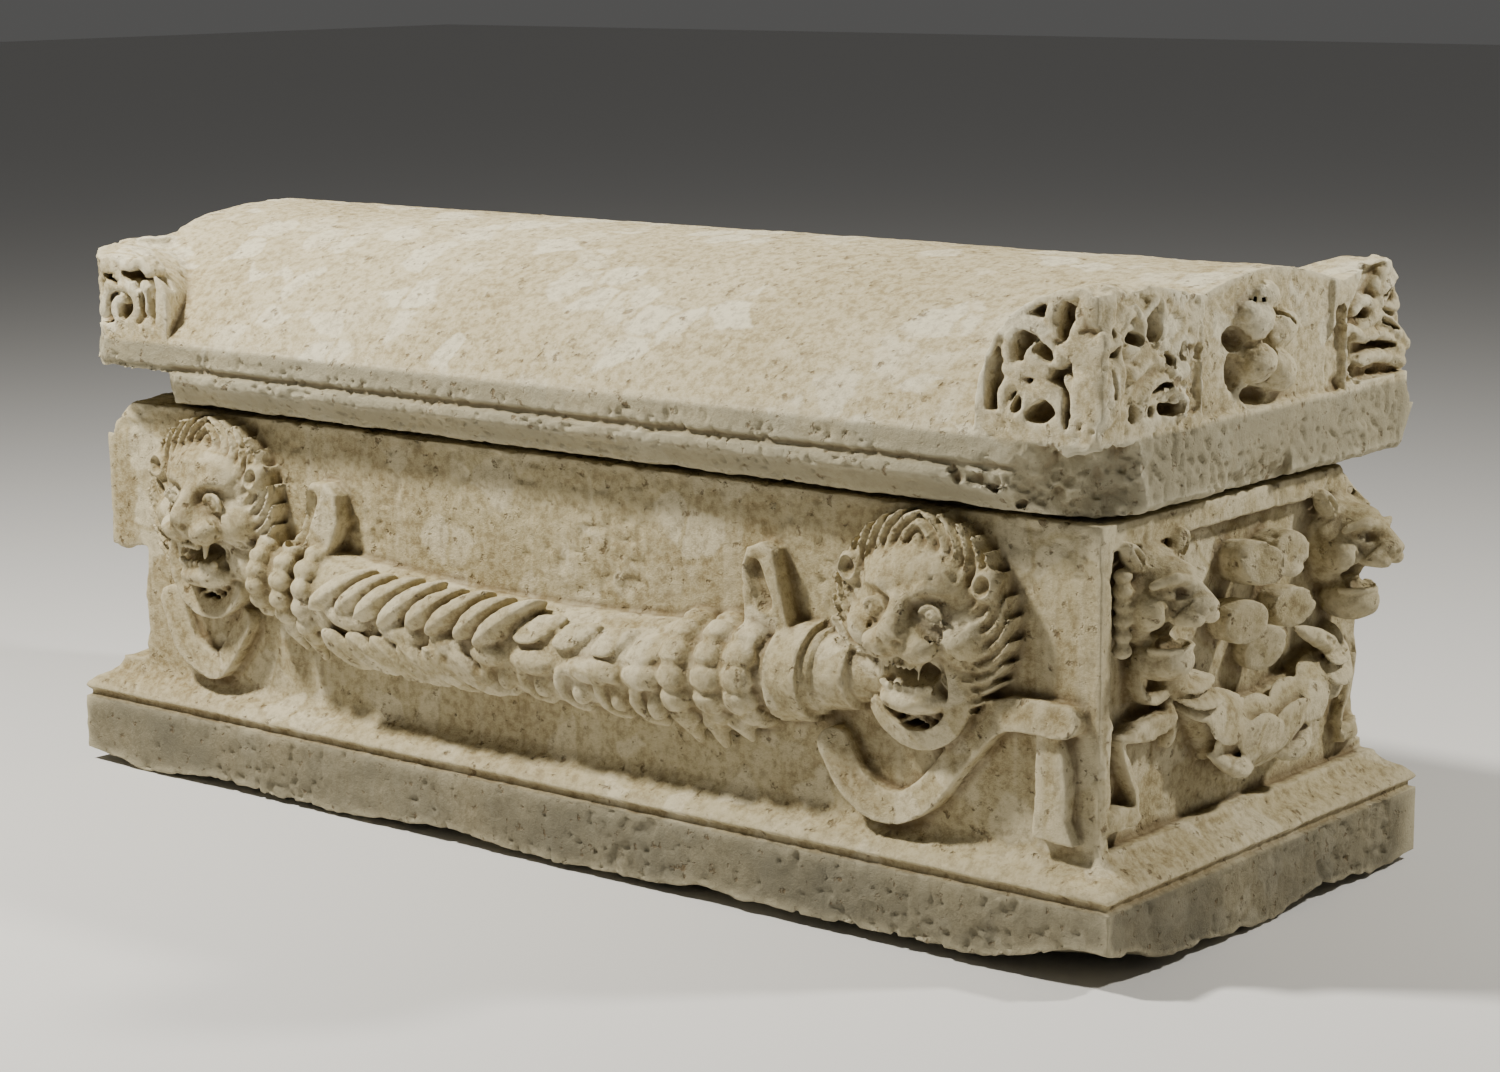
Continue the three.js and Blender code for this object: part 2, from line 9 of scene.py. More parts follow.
import bmesh
import bpy
import numpy as np
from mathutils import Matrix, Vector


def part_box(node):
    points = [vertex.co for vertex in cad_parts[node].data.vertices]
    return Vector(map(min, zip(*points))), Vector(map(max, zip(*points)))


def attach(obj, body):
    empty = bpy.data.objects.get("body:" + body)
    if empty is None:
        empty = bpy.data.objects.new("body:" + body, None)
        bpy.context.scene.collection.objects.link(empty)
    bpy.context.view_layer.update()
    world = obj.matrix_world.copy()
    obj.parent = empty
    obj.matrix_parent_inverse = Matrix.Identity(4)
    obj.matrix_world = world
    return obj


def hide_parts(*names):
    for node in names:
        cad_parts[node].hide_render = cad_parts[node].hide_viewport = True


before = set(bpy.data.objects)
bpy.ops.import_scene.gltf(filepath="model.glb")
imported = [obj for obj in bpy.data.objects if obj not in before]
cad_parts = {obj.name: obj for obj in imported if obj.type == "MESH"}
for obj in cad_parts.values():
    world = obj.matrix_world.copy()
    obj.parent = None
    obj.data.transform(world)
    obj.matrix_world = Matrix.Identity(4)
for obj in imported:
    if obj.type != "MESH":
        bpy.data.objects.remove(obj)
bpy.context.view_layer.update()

import openvdb
from mathutils import Matrix, Vector

MM = 0.001
STEP = 3.0  # spacing of the grid of stone, in millimetres
TRIANGLES = 190000  # most that one stone's mesh keeps
SHY = 0.0006  # how far a carved surface stays inside its plain solid's box, in metres

# ---- sizes, in millimetres ----

CHEST_LOW, CHEST_HIGH = [[n / MM for n in corner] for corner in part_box("chest")]
LID_LOW, LID_HIGH = [[n / MM for n in corner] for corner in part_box("lid")]
PLINTH_X = -CHEST_LOW[0]
PLINTH_Y = CHEST_HIGH[1]
RIM = CHEST_HIGH[2]
ARRIS = 115.0  # top of the plinth's upright face
WALL_INSET = 47.0
WALL_FOOT = 172.0  # where the wall rises from the moulding
WALL_X = PLINTH_X - WALL_INSET
WALL_Y = PLINTH_Y - WALL_INSET
WALL_THICK = 95.0
CAVITY_FLOOR = 175.0
PANEL_SINK = 22.0  # how far the right end's ground lies behind its border
LID_Y = LID_HIGH[1]
LID_LEFT = LID_LOW[0]
LID_RIGHT = 1005.0
LID_BOTTOM = LID_LOW[2]
EAVES = 728.0  # where the lid's upright edge ends
RIDGE = 920.0
VAULT_RADIUS = 575.0
GARLAND_LOW = 322  # height of the garland's middle at its lowest
GARLAND_RISE = 57  # how much higher it is at GARLAND_REACH from the middle
GARLAND_REACH = 640
GARLAND_ROUND = 74  # its radius over most of its length
POD_LEAN = 0.00054  # how fast the pods on it turn with their distance from the middle

# Inset of the side from the plinth's face at each height, from the ground up.
CHEST_PROFILE = [
    (0, 0), (0, ARRIS - 4), (8, ARRIS - 1), (8, ARRIS + 6), (1, ARRIS + 9), (0, ARRIS + 14),
    (4, ARRIS + 20), (14, 144), (30, 152), (41, 161), (WALL_INSET, WALL_FOOT),
    (WALL_INSET, RIM + 10),
]
# Inset of the lid's long edges from its face, from its bed up.
LID_PROFILE = [
    (120, LID_BOTTOM - 5), (120, LID_BOTTOM), (38, 624), (32, 628), (3, 661), (0, 666),
    (0, 679), (8, 683), (8, 688), (0, 692), (0, RIDGE + 60),
]

# ---- the grid of stone ----

Shape = namedtuple("Shape", "low high distance")
LATTICE = np.random.default_rng(7).uniform(-1, 1, (64, 64, 64)).astype(np.float32)


def grain(x, y, z, size, shift=0.0):
    """Smooth random values from -1 to 1 that change over about the given size."""
    whole, part = [], []
    for axis in (x, y, z):
        place = np.asarray(axis, dtype=np.float32) / size + shift
        corner = np.floor(place)
        rest = place - corner
        whole.append(corner.astype(np.int32) & 63)
        part.append(rest * rest * (3 - 2 * rest))
    (i, j, k), (p, q, r) = whole, part
    i2, j2, k2 = (i + 1) & 63, (j + 1) & 63, (k + 1) & 63
    near = (LATTICE[i, j, k] * (1 - r) + LATTICE[i, j, k2] * r) * (1 - q)
    near = near + (LATTICE[i, j2, k] * (1 - r) + LATTICE[i, j2, k2] * r) * q
    far = (LATTICE[i2, j, k] * (1 - r) + LATTICE[i2, j, k2] * r) * (1 - q)
    far = far + (LATTICE[i2, j2, k] * (1 - r) + LATTICE[i2, j2, k2] * r) * q
    return near * (1 - p) + far * p


def soft_min(a, b, blend):
    """The lesser of two distances, with the crease between them rounded over."""
    if blend <= 0:
        return np.minimum(a, b)
    share = np.clip(0.5 + 0.5 * (b - a) / blend, 0, 1)
    return b + (a - b) * share - blend * share * (1 - share)


class Block:
    """Stone as signed distances on an even grid: less than nothing is inside."""

    def __init__(self, low, high):
        self.low = np.array(low, dtype=np.float64)
        self.axes = [np.arange(a, b + STEP, STEP, dtype=np.float32) for a, b in zip(low, high)]
        self.field = None

    def grids(self):
        return [a.reshape([-1 if n == m else 1 for m in range(3)])
                for n, a in enumerate(self.axes)]

    def window(self, low, high, margin):
        cuts = []
        for axis, a, b in zip(self.axes, low, high):
            first = max(int(np.searchsorted(axis, a - margin)) - 1, 0)
            last = min(int(np.searchsorted(axis, b + margin)) + 1, len(axis))
            cuts.append(slice(first, max(last, first)))
        return tuple(cuts), [g[c] if n == 0 else (g[:, c] if n == 1 else g[:, :, c])
                             for n, (g, c) in enumerate(zip(self.grids(), cuts))]

    def add(self, shape, blend=0.0):
        cuts, grids = self.window(shape.low, shape.high, blend + 2 * STEP)
        part = self.field[cuts]
        if part.size:
            part[...] = soft_min(part, shape.distance(*grids), blend)

    def cut(self, shape, blend=0.0):
        cuts, grids = self.window(shape.low, shape.high, blend + 2 * STEP)
        part = self.field[cuts]
        if part.size:
            part[...] = -soft_min(-part, shape.distance(*grids), blend)


class Face:
    """One upright side of a block: u runs along it, v up it and h out of it."""

    def __init__(self, block, along, outward, plane):
        self.block = block
        self.along = along
        self.outward = outward
        self.plane = plane

    def place(self, shape):
        (axis_u, sign_u), (axis_h, sign_h) = self.along, self.outward
        low, high = [0, 0, shape.low[1]], [0, 0, shape.high[1]]
        ends_u = sorted((sign_u * shape.low[0], sign_u * shape.high[0]))
        ends_h = sorted(sign_h * (self.plane + n) for n in (shape.low[2], shape.high[2]))
        low[axis_u], high[axis_u] = ends_u
        low[axis_h], high[axis_h] = ends_h

        def distance(x, y, z):
            world = (x, y)
            return shape.distance(
                sign_u * world[axis_u], z, sign_h * world[axis_h] - self.plane)

        return Shape(low, high, distance)

    def add(self, shape, blend=3.0):
        self.block.add(self.place(shape), blend)

    def cut(self, shape, blend=2.0):
        self.block.cut(self.place(shape), blend)

    def to_world(self, points):
        (axis_u, sign_u), (axis_h, sign_h) = self.along, self.outward
        world = np.zeros_like(points)
        world[:, axis_u] = sign_u * points[:, 0]
        world[:, axis_h] = sign_h * (points[:, 2] + self.plane)
        world[:, 2] = points[:, 1]
        return world


# ---- forms in a face's own u, v and h ----


def egg(centre, half, turn=0.0):
    """An egg with the half-sizes given, turned in the face by so many degrees."""
    (cu, cv, ch), (a, b, c) = centre, half
    cos, sin = math.cos(math.radians(turn)), math.sin(math.radians(turn))
    reach_u = math.hypot(a * cos, b * sin)
    reach_v = math.hypot(a * sin, b * cos)

    def distance(u, v, h):
        p = cos * (u - cu) + sin * (v - cv)
        q = cos * (v - cv) - sin * (u - cu)
        r = h - ch
        near = np.sqrt((p / a) ** 2 + (q / b) ** 2 + (r / c) ** 2)
        slope = np.sqrt((p / a ** 2) ** 2 + (q / b ** 2) ** 2 + (r / c ** 2) ** 2)
        return near * (near - 1) / np.maximum(slope, 1e-5)

    return Shape((cu - reach_u, cv - reach_v, ch - c), (cu + reach_u, cv + reach_v, ch + c),
                 distance)


def strand(points, thick, standing=0.0):
    """A round cord through the points; thick is its half-size at each, or one number.

    A standing cord is filled in below its middle, down to that depth.
    """
    points = np.array(points, dtype=np.float64)
    thick = np.broadcast_to(np.asarray(thick, dtype=np.float64), (len(points),))
    most = thick.max()

    def distance(u, v, h):
        best = None
        for a, b, ra, rb in zip(points[:-1], points[1:], thick[:-1], thick[1:]):
            way = b - a
            length = max(float(way @ way), 1e-6)
            t = ((u - a[0]) * way[0] + (v - a[1]) * way[1] + (h - a[2]) * way[2]) / length
            t = np.clip(t, 0, 1)
            lift = h - a[2] - t * way[2]
            if standing:
                lift = np.maximum(lift, 0)
            gap = np.sqrt((u - a[0] - t * way[0]) ** 2 + (v - a[1] - t * way[1]) ** 2 + lift ** 2)
            gap = gap - (ra + t * (rb - ra))
            best = gap if best is None else np.minimum(best, gap)
        return np.maximum(best, -standing - h) if standing else best

    low, high = points.min(0) - most, points.max(0) + most
    if standing:
        low[2] = -standing
    return Shape(low, high, distance)


def smooth_path(points, count):
    """Evenly numbered places on a smooth curve that passes through the points."""
    points = np.array(points, dtype=np.float64)
    padded = np.vstack([2 * points[0] - points[1], points, 2 * points[-1] - points[-2]])
    places = []
    for t in np.linspace(0, len(points) - 1, count):
        i = min(int(t), len(points) - 2)
        s = t - i
        a, b, c, d = padded[i:i + 4]
        places.append(0.5 * (2 * b + (c - a) * s + (2 * a - 5 * b + 4 * c - d) * s ** 2
                             + (3 * b - 3 * c + d - a) * s ** 3))
    return np.array(places)


def arc(u, v, h, radius, start, end, count=12, squash=1.0):
    """Points round part of a circle in the face."""
    angles = np.radians(np.linspace(start, end, count))
    return np.stack([u + radius * np.cos(angles), v + squash * radius * np.sin(angles),
                     np.full(count, h)], axis=1)


def ribbon(points, width, top, tilt=0.0, bottom=-30.0):
    """A flat band of even width along a path of (u, v), standing from the ground to top.

    tilt lowers its left side, looking along the path, or its right side where it is minus.
    """
    path = np.array(points, dtype=np.float64)[:, :2]
    half = width / 2

    def distance(u, v, h):
        best = side = None
        for a, b in zip(path[:-1], path[1:]):
            way = b - a
            length = float(way @ way)
            t = np.clip(((u - a[0]) * way[0] + (v - a[1]) * way[1]) / length, 0, 1)
            off_u, off_v = u - a[0] - t * way[0], v - a[1] - t * way[1]
            gap = np.sqrt(off_u ** 2 + off_v ** 2)
            hand = (way[0] * off_v - way[1] * off_u) / math.sqrt(length)
            if best is None:
                best, side = gap, hand
            else:
                side = np.where(gap < best, hand, side)
                best = np.minimum(best, gap)
        height = top - tilt * (0.5 + 0.5 * np.clip(side / half, -1, 1))
        p, q = best - half + 3, h - height + 3
        q = np.maximum(q, bottom - h)
        outside = np.sqrt(np.maximum(p, 0) ** 2 + np.maximum(q, 0) ** 2)
        return outside + np.minimum(np.maximum(p, q), 0) - 3

    low, high = path.min(0) - half, path.max(0) + half
    return Shape((low[0], low[1], bottom), (high[0], high[1], top), distance)


def plate(corners, bottom, top, soft=3.0):
    """A flat piece with a straight-sided outline of (u, v) corners and rounded edges."""
    corners = np.array(corners, dtype=np.float64)

    def distance(u, v, h):
        best = inside = None
        for a, b in zip(corners, np.roll(corners, -1, axis=0)):
            way = b - a
            t = np.clip(((u - a[0]) * way[0] + (v - a[1]) * way[1]) / float(way @ way), 0, 1)
            gap = (u - a[0] - t * way[0]) ** 2 + (v - a[1] - t * way[1]) ** 2
            crosses = (a[1] > v) != (b[1] > v)
            rise = way[1] if abs(way[1]) > 1e-9 else 1e-9
            crosses = crosses & (u < way[0] * (v - a[1]) / rise + a[0])
            best = gap if best is None else np.minimum(best, gap)
            inside = crosses if inside is None else inside ^ crosses
        p = np.where(inside, -1, 1) * np.sqrt(best) + soft
        q = np.maximum(h - top, bottom - h) + soft
        outside = np.sqrt(np.maximum(p, 0) ** 2 + np.maximum(q, 0) ** 2)
        return outside + np.minimum(np.maximum(p, q), 0) - soft

    low, high = corners.min(0), corners.max(0)
    return Shape((low[0], low[1], bottom), (high[0], high[1], top), distance)


def box(low, high, soft=0.0):
    low, high = np.array(low, dtype=np.float64), np.array(high, dtype=np.float64)
    middle, half = (low + high) / 2, (high - low) / 2 - soft

    def distance(x, y, z):
        p, q, r = (abs(n - m) - e for n, m, e in zip((x, y, z), middle, half))
        outside = np.sqrt(np.maximum(p, 0) ** 2 + np.maximum(q, 0) ** 2 + np.maximum(r, 0) ** 2)
        return outside + np.minimum(np.maximum(np.maximum(p, q), r), 0) - soft

    return Shape(low, high, distance)


def rough(shape, size, depth, shift=0.0):
    """The same form with a broken surface that wanders in and out by the depth given."""
    def distance(x, y, z):
        wander = grain(x, y, z, size, shift) + 0.5 * grain(x, y, z, size / 2.3, shift + 9)
        wander = wander + 0.3 * grain(x, y, z, size / 5, shift + 20)
        return shape.distance(x, y, z) + depth * wander

    reach = np.array([depth * 1.8] * 3)
    return Shape(np.array(shape.low) - reach, np.array(shape.high) + reach, distance)


# ---- the chest's and the lid's blocks ----


def inset_at(profile, z):
    heights = [height for _, height in profile]
    return np.interp(z, heights, [inset for inset, _ in profile]).astype(np.float32)


def chest_block():
    block = Block((CHEST_LOW[0] - 9, CHEST_LOW[1] - 9, -9),
                  (CHEST_HIGH[0] + 9, PLINTH_Y + 9, RIM + 9))
    x, y, z = block.grids()
    inset = inset_at(CHEST_PROFILE, z)
    side = np.maximum(abs(x) - (PLINTH_X - inset), abs(y) - (PLINTH_Y - inset))
    to_edge = np.minimum(PLINTH_X - abs(x), PLINTH_Y - abs(y))
    rise = 1 - np.clip(to_edge / 110, 0, 1)
    foot = rise * (14 + 10 * grain(x, y, 0, 170, 3.1) + 7 * grain(x, y, 0, 45, 5.7))
    corner = np.exp(-((x - PLINTH_X) / 190) ** 2 - ((y + PLINTH_Y) / 120) ** 2)
    foot = np.maximum(foot + 44 * corner, 0) * np.clip(to_edge / 3 + 1, 0, 1)
    block.field = np.maximum(np.maximum(side, foot - z), z - RIM).astype(np.float32)
    return block


def lid_block():
    block = Block((LID_LEFT - 9, -LID_Y - 9, LID_BOTTOM - 9),
                  (LID_HIGH[0] + 9, LID_Y + 9, LID_HIGH[2] + 9))
    x, y, z = block.grids()
    section = np.maximum(abs(y) - (LID_Y - inset_at(LID_PROFILE, z)), LID_BOTTOM - z)
    vault = np.sqrt(y ** 2 + (z - RIDGE + VAULT_RADIUS) ** 2) - VAULT_RADIUS
    section = -soft_min(-section, -vault, 5)
    lift = np.interp(z, (LID_BOTTOM, 624, 634), (90, 8, 0)).astype(np.float32)
    ends = np.maximum(x - LID_RIGHT + lift, LID_LEFT - x + lift)
    block.field = (-soft_min(-section, -ends, 6)).astype(np.float32)
    return block


# ---- from stone to mesh ----


def softened(solid, radius):
    """How much stone lies round each place, from 0 to 1, within a small cube."""
    share = solid.astype(np.float32)
    n = max(1, int(round(radius / STEP)))
    for axis in range(3):
        total = np.cumsum(share, axis=axis, dtype=np.float32)
        pad = [(0, 0)] * 3
        pad[axis] = (n + 1, n)
        total = np.pad(total, pad, mode="edge")
        first = [slice(None)] * 3
        last = [slice(None)] * 3
        first[axis] = slice(0, share.shape[axis])
        last[axis] = slice(2 * n + 1, 2 * n + 1 + share.shape[axis])
        low = total[tuple(first)].copy()
        edge = [slice(None)] * 3
        edge[axis] = slice(0, n + 1)
        low[tuple(edge)] = 0
        share = (total[tuple(last)] - low) / (2 * n + 1)
    return share


def node_of(name):
    """The plain solid's node that a carved piece stands in for."""
    return name.split("_")[0]


def mesh_of(block, name, roughness):
    """The block's surface as one closed mesh, with its roughness and a map of its hollows."""
    limit = 4 * STEP
    field = np.clip(block.field, -limit, limit)
    grid = openvdb.FloatGrid(limit)
    grid.copyFromArray(field)
    points, quads = grid.convertToQuads(0.0)
    # This share of stone round each point later darkens the hollows in the colour: patina and
    # painted shade.
    hollow = softened(field < 0, 15)
    places = points.astype(np.float64) * STEP + block.low
    mesh = bpy.data.meshes.new(name)
    mesh.from_pydata(places * MM, [], quads)
    index = np.clip(np.rint(points).astype(int), 0, np.array(field.shape) - 1)
    near = hollow[index[:, 0], index[:, 1], index[:, 2]]
    attribute = mesh.attributes.new("hollow", "FLOAT", "POINT")
    attribute.data.foreach_set("value", near.astype(np.float32))
    normals = np.empty(len(points) * 3, dtype=np.float32)
    mesh.vertex_normals.foreach_get("vector", normals)
    normals = normals.reshape(-1, 3)
    out = places + normals * roughness(*places.T)[:, None]
    low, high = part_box(node_of(name))
    out = np.clip(out * MM, np.array(low) + SHY, np.array(high) - SHY)
    mesh.vertices.foreach_set("co", out.astype(np.float32).ravel())
    mesh.update()
    piece = bpy.data.objects.new(name, mesh)
    bpy.context.scene.collection.objects.link(piece)
    return piece


def without_crumbs(mesh):
    """Takes off every loose bit, so that only the stone itself is left."""
    edges = np.empty(len(mesh.edges) * 2, dtype=np.int32)
    mesh.edges.foreach_get("vertices", edges)
    first, second = edges.reshape(-1, 2).T
    joined = np.arange(len(mesh.vertices))
    while True:
        lowest = joined.copy()
        np.minimum.at(lowest, first, joined[second])
        np.minimum.at(lowest, second, joined[first])
        lowest = lowest[lowest]
        if (lowest == joined).all():
            break
        joined = lowest
    crumbs = joined != np.bincount(joined).argmax()
    shape = bmesh.new()
    shape.from_mesh(mesh)
    loose = [point for point, crumb in zip(shape.verts, crumbs) if crumb]
    bmesh.ops.delete(shape, geom=loose, context="VERTS")
    shape.to_mesh(mesh)
    shape.free()


def thinned(piece, triangles):
    """The piece brought down to so many triangles, closest where it is carved."""
    count = sum(len(face.vertices) - 2 for face in piece.data.polygons)
    if count > triangles:
        thin = piece.modifiers.new("thin", "DECIMATE")
        thin.ratio = triangles / count
        thin.use_collapse_triangulate = True
        made = bpy.data.meshes.new_from_object(
            piece.evaluated_get(bpy.context.evaluated_depsgraph_get()))
        piece.modifiers.remove(thin)
        piece.data = made
    without_crumbs(piece.data)
    piece.data.shade_smooth()
    piece.data.name = piece.name
    return piece


# ---- node trees written as sums ----


class Value:
    """One output of a node, which adds its own Math nodes when it is used in a sum."""

    def __init__(self, nodes, socket):
        self.nodes = nodes
        self.socket = socket

    def maths(self, operation, *others):
        inputs = dict(enumerate([self, *others]))
        return self.nodes.node("ShaderNodeMath", {"operation": operation}, inputs)

    def __add__(self, other):
        return self.maths("ADD", other)

    __radd__ = __add__

    def __mul__(self, other):
        return self.maths("MULTIPLY", other)

    __rmul__ = __mul__

    def __sub__(self, other):
        return self.maths("SUBTRACT", other)

    def __rsub__(self, other):
        return (self * -1) + other

    def __pow__(self, other):
        return self.maths("POWER", other)

    def clamped(self):
        return self.maths("MAXIMUM", 0.0).maths("MINIMUM", 1.0)


class Nodes:
    """A node tree, filled by one method."""

    def __init__(self, tree):
        self.tree = tree

    def node(self, kind, settings=None, inputs=None, output=0):
        """A node of that kind: its settings first, then the values or links of its sockets."""
        made = self.tree.nodes.new(kind)
        for name, setting in (settings or {}).items():
            if name == "stops":
                ramp = made.color_ramp
                while len(ramp.elements) < len(setting):
                    ramp.elements.new(0.5)
                for element, (place, colour) in zip(ramp.elements, setting):
                    element.position = place
                    element.color = colour
            else:
                setattr(made, name, setting)
        for name, value in (inputs or {}).items():
            if isinstance(value, Value):
                self.tree.links.new(value.socket, made.inputs[name])
            else:
                made.inputs[name].default_value = value
        return Value(self, made.outputs[output]) if len(made.outputs) else made

    def vector(self, operation, *inputs):
        return self.node("ShaderNodeVectorMath", {"operation": operation},
                         dict(enumerate(inputs)))


# ---- what repeats along a path ----


def path_tree():
    """Geometry nodes that set one form over and over along a path, lying on a round."""
    group = bpy.data.node_groups.new("set along a path", "GeometryNodeTree")
    face = group.interface
    face.new_socket("Geometry", in_out="OUTPUT", socket_type="NodeSocketGeometry")
    face.new_socket("Path", in_out="INPUT", socket_type="NodeSocketGeometry")
    for name, kind in (("Form", "Object"), ("Count", "Int"), ("Length", "Float"),
                       ("Width", "Float"), ("Thickness", "Float"), ("Tilt", "Float"),
                       ("Rise", "Float"), ("Variation", "Float"), ("Seed", "Int"),
                       ("Centre", "Vector"), ("Stone", "Material")):
        face.new_socket(name, in_out="INPUT", socket_type="NodeSocket" + kind)
    nodes = Nodes(group)
    given = group.nodes.new("NodeGroupInput")
    value = {name: Value(nodes, given.outputs[name]) for name in given.outputs.keys() if name}
    evenly = nodes.node("GeometryNodeResampleCurve", {},
                        {"Curve": value["Path"], "Count": value["Count"]})
    form = nodes.node("GeometryNodeObjectInfo", {}, {"Object": value["Form"]}, "Geometry")
    place = nodes.node("GeometryNodeInputPosition")
    tangent = nodes.node("GeometryNodeInputTangent")
    out = nodes.vector("MULTIPLY", nodes.vector("SUBTRACT", place, value["Centre"]), (0, 1, 1))
    lying = nodes.node("FunctionNodeAxesToRotation", {"primary_axis": "Z", "secondary_axis": "X"},
                       {0: out, 1: tangent})
    turn = nodes.node("ShaderNodeCombineXYZ", {}, {1: value["Rise"], 2: value["Tilt"]})
    sway = nodes.node("FunctionNodeRandomValue", {"data_type": "FLOAT_VECTOR"},
                      {"Min": (-0.6, -0.6, -0.6), "Max": (0.6, 0.6, 0.6), "Seed": value["Seed"]})
    sway = nodes.node("ShaderNodeVectorMath", {"operation": "SCALE"},
                      {0: sway, "Scale": value["Variation"]})
    turned = nodes.node("FunctionNodeRotateRotation", {"rotation_space": "LOCAL"},
                        {0: lying, 1: nodes.node("FunctionNodeEulerToRotation", {},
                                                 {0: nodes.vector("ADD", turn, sway)})})
    size = nodes.node("ShaderNodeCombineXYZ", {},
                      {0: value["Length"] * 0.5, 1: value["Width"] * 0.5, 2: value["Thickness"]})
    odd = nodes.node("FunctionNodeRandomValue", {"data_type": "FLOAT_VECTOR"},
                     {"Min": (-1, -1, -1), "Max": (1, 1, 1), "Seed": value["Seed"] + 1})
    odd = nodes.node("ShaderNodeVectorMath", {"operation": "SCALE"},
                     {0: odd, "Scale": value["Variation"]})
    size = nodes.vector("MULTIPLY", size, nodes.vector("ADD", odd, (1, 1, 1)))
    row = nodes.node("GeometryNodeInstanceOnPoints", {},
                     {"Points": evenly, "Instance": form, "Rotation": turned, "Scale": size})
    row = nodes.node("GeometryNodeRealizeInstances", {}, {"Geometry": row})
    row = nodes.node("GeometryNodeSetMaterial", {}, {"Geometry": row, "Material": value["Stone"]})
    nodes.node("NodeGroupOutput", {}, {0: row})
    return group


def form_object(name, width, top, under=0.6, rings=14, sides=14):
    """A closed form from x -1 to 1, with its half-width and its top's height given."""
    points = [(-1, 0, 0)]
    for i in range(1, rings):
        s = -math.cos(math.pi * i / rings)
        for j in range(sides):
            angle = 2 * math.pi * j / sides
            across, up = math.cos(angle), math.sin(angle)
            height = up * under if up < 0 else up * top(s, across)
            points.append((s, across * width(s), height * (1 - s * s) ** 0.5))
    points.append((1, 0, 0))
    last = len(points) - 1
    faces = []
    for j in range(sides):
        k = (j + 1) % sides
        faces.append((0, 1 + k, 1 + j))
        faces.append((last, last - sides + j, last - sides + k))
        for i in range(rings - 2):
            a = 1 + i * sides
            faces.append((a + j, a + k, a + sides + k, a + sides + j))
    mesh = bpy.data.meshes.new(name)
    mesh.from_pydata(points, [], faces)
    piece = bpy.data.objects.new(name, mesh)
    bpy.context.scene.collection.objects.link(piece)
    return piece


FORMS = {
    "bud": form_object("bud", lambda s: (1 - s * s) ** 0.5, lambda s, a: 1, 1, 10, 12),
    "leaf": form_object(
        "leaf", lambda s: (1 - s * s) ** 0.7 * (1 - 0.3 * s),
        lambda s, a: 1 - 0.45 * math.exp(-(a / 0.22) ** 2)),
    "pod": form_object(
        "pod", lambda s: (1 - s * s) ** 0.42,
        lambda s, a: 1 - 0.6 * math.exp(-(a / 0.2) ** 2)),
    "lock": form_object(
        "lock", lambda s: (1 - s * s) ** 0.5 * (1 - 0.35 * s),
        lambda s, a: 0.82 + 0.25 * math.cos(3 * math.pi * a)),
}
PATH_TREE = path_tree()
PLAIN = (0, 0, -1e5)


def set_along(face, form, path, count, size, tilt=0.0, rise=0.0, variation=0.08, seed=1,
              centre=PLAIN, blend=3.0):
    """Sets so many of one form along a path in a face and joins them to its block."""
    path = np.array(path, dtype=np.float64)
    curve = bpy.data.curves.new("row", "CURVE")
    curve.dimensions = "3D"
    spline = curve.splines.new("POLY")
    spline.points.add(len(path) - 1)
    spline.points.foreach_set("co", np.hstack([path, np.ones((len(path), 1))]).ravel())
    row = bpy.data.objects.new("row", curve)
    bpy.context.scene.collection.objects.link(row)
    modifier = row.modifiers.new("row", "NODES")
    modifier.node_group = PATH_TREE
    inputs = {"Form": FORMS[form], "Count": count, "Length": size[0], "Width": size[1],
              "Thickness": size[2], "Tilt": math.radians(tilt), "Rise": math.radians(rise),
              "Variation": variation, "Seed": seed, "Centre": centre}
    for item in PATH_TREE.interface.items_tree:
        if item.in_out == "INPUT" and item.name in inputs:
            modifier[item.identifier] = inputs[item.name]
    graph = bpy.context.evaluated_depsgraph_get()
    mesh = bpy.data.meshes.new_from_object(row.evaluated_get(graph))
    row.modifiers.remove(modifier)
    bpy.data.objects.remove(row)
    bpy.data.curves.remove(curve)
    mesh.calc_loop_triangles()
    points = np.empty(len(mesh.vertices) * 3, dtype=np.float32)
    mesh.vertices.foreach_get("co", points)
    corners = np.empty(len(mesh.loop_triangles) * 3, dtype=np.int32)
    mesh.loop_triangles.foreach_get("vertices", corners)
    bpy.data.meshes.remove(mesh)
    world = face.to_world(points.reshape(-1, 3).astype(np.float64))
    block = face.block
    cuts, _ = block.window(world.min(0), world.max(0), blend + 2 * STEP)
    part = block.field[cuts]
    solid = openvdb.FloatGrid.createLevelSetFromPolygons(
        (world - block.low).astype(np.float32),
        triangles=corners.reshape(-1, 3).astype(np.uint32),
        transform=openvdb.createLinearTransform(voxelSize=STEP), halfWidth=3.0)
    near = np.full(part.shape, 3 * STEP, dtype=np.float32)
    solid.copyToArray(near, ijk=tuple(c.start for c in cuts))
    part[...] = soft_min(part, near, blend)


# ---- forms used only here ----


def roll(start, end, height, radius, squash=1.0):
    """A round bar lying along a face, with its own middle height and radius at each u."""
    def distance(u, v, h):
        slope = (height(u + 1) - height(u - 1)) / 2
        across = (v - height(u)) / np.sqrt(1 + slope ** 2)
        gap = np.sqrt(across ** 2 + (h / squash) ** 2) - radius(u)
        return np.maximum(gap, np.maximum(start - u, u - end))

    places = np.linspace(start, end, 30)
    radii, heights = radius(places), height(places)
    most = float(np.max(radii))
    return Shape((start, float(np.min(heights)) - most, -most * squash),
                 (end, float(np.max(heights)) + most, most * squash), distance)


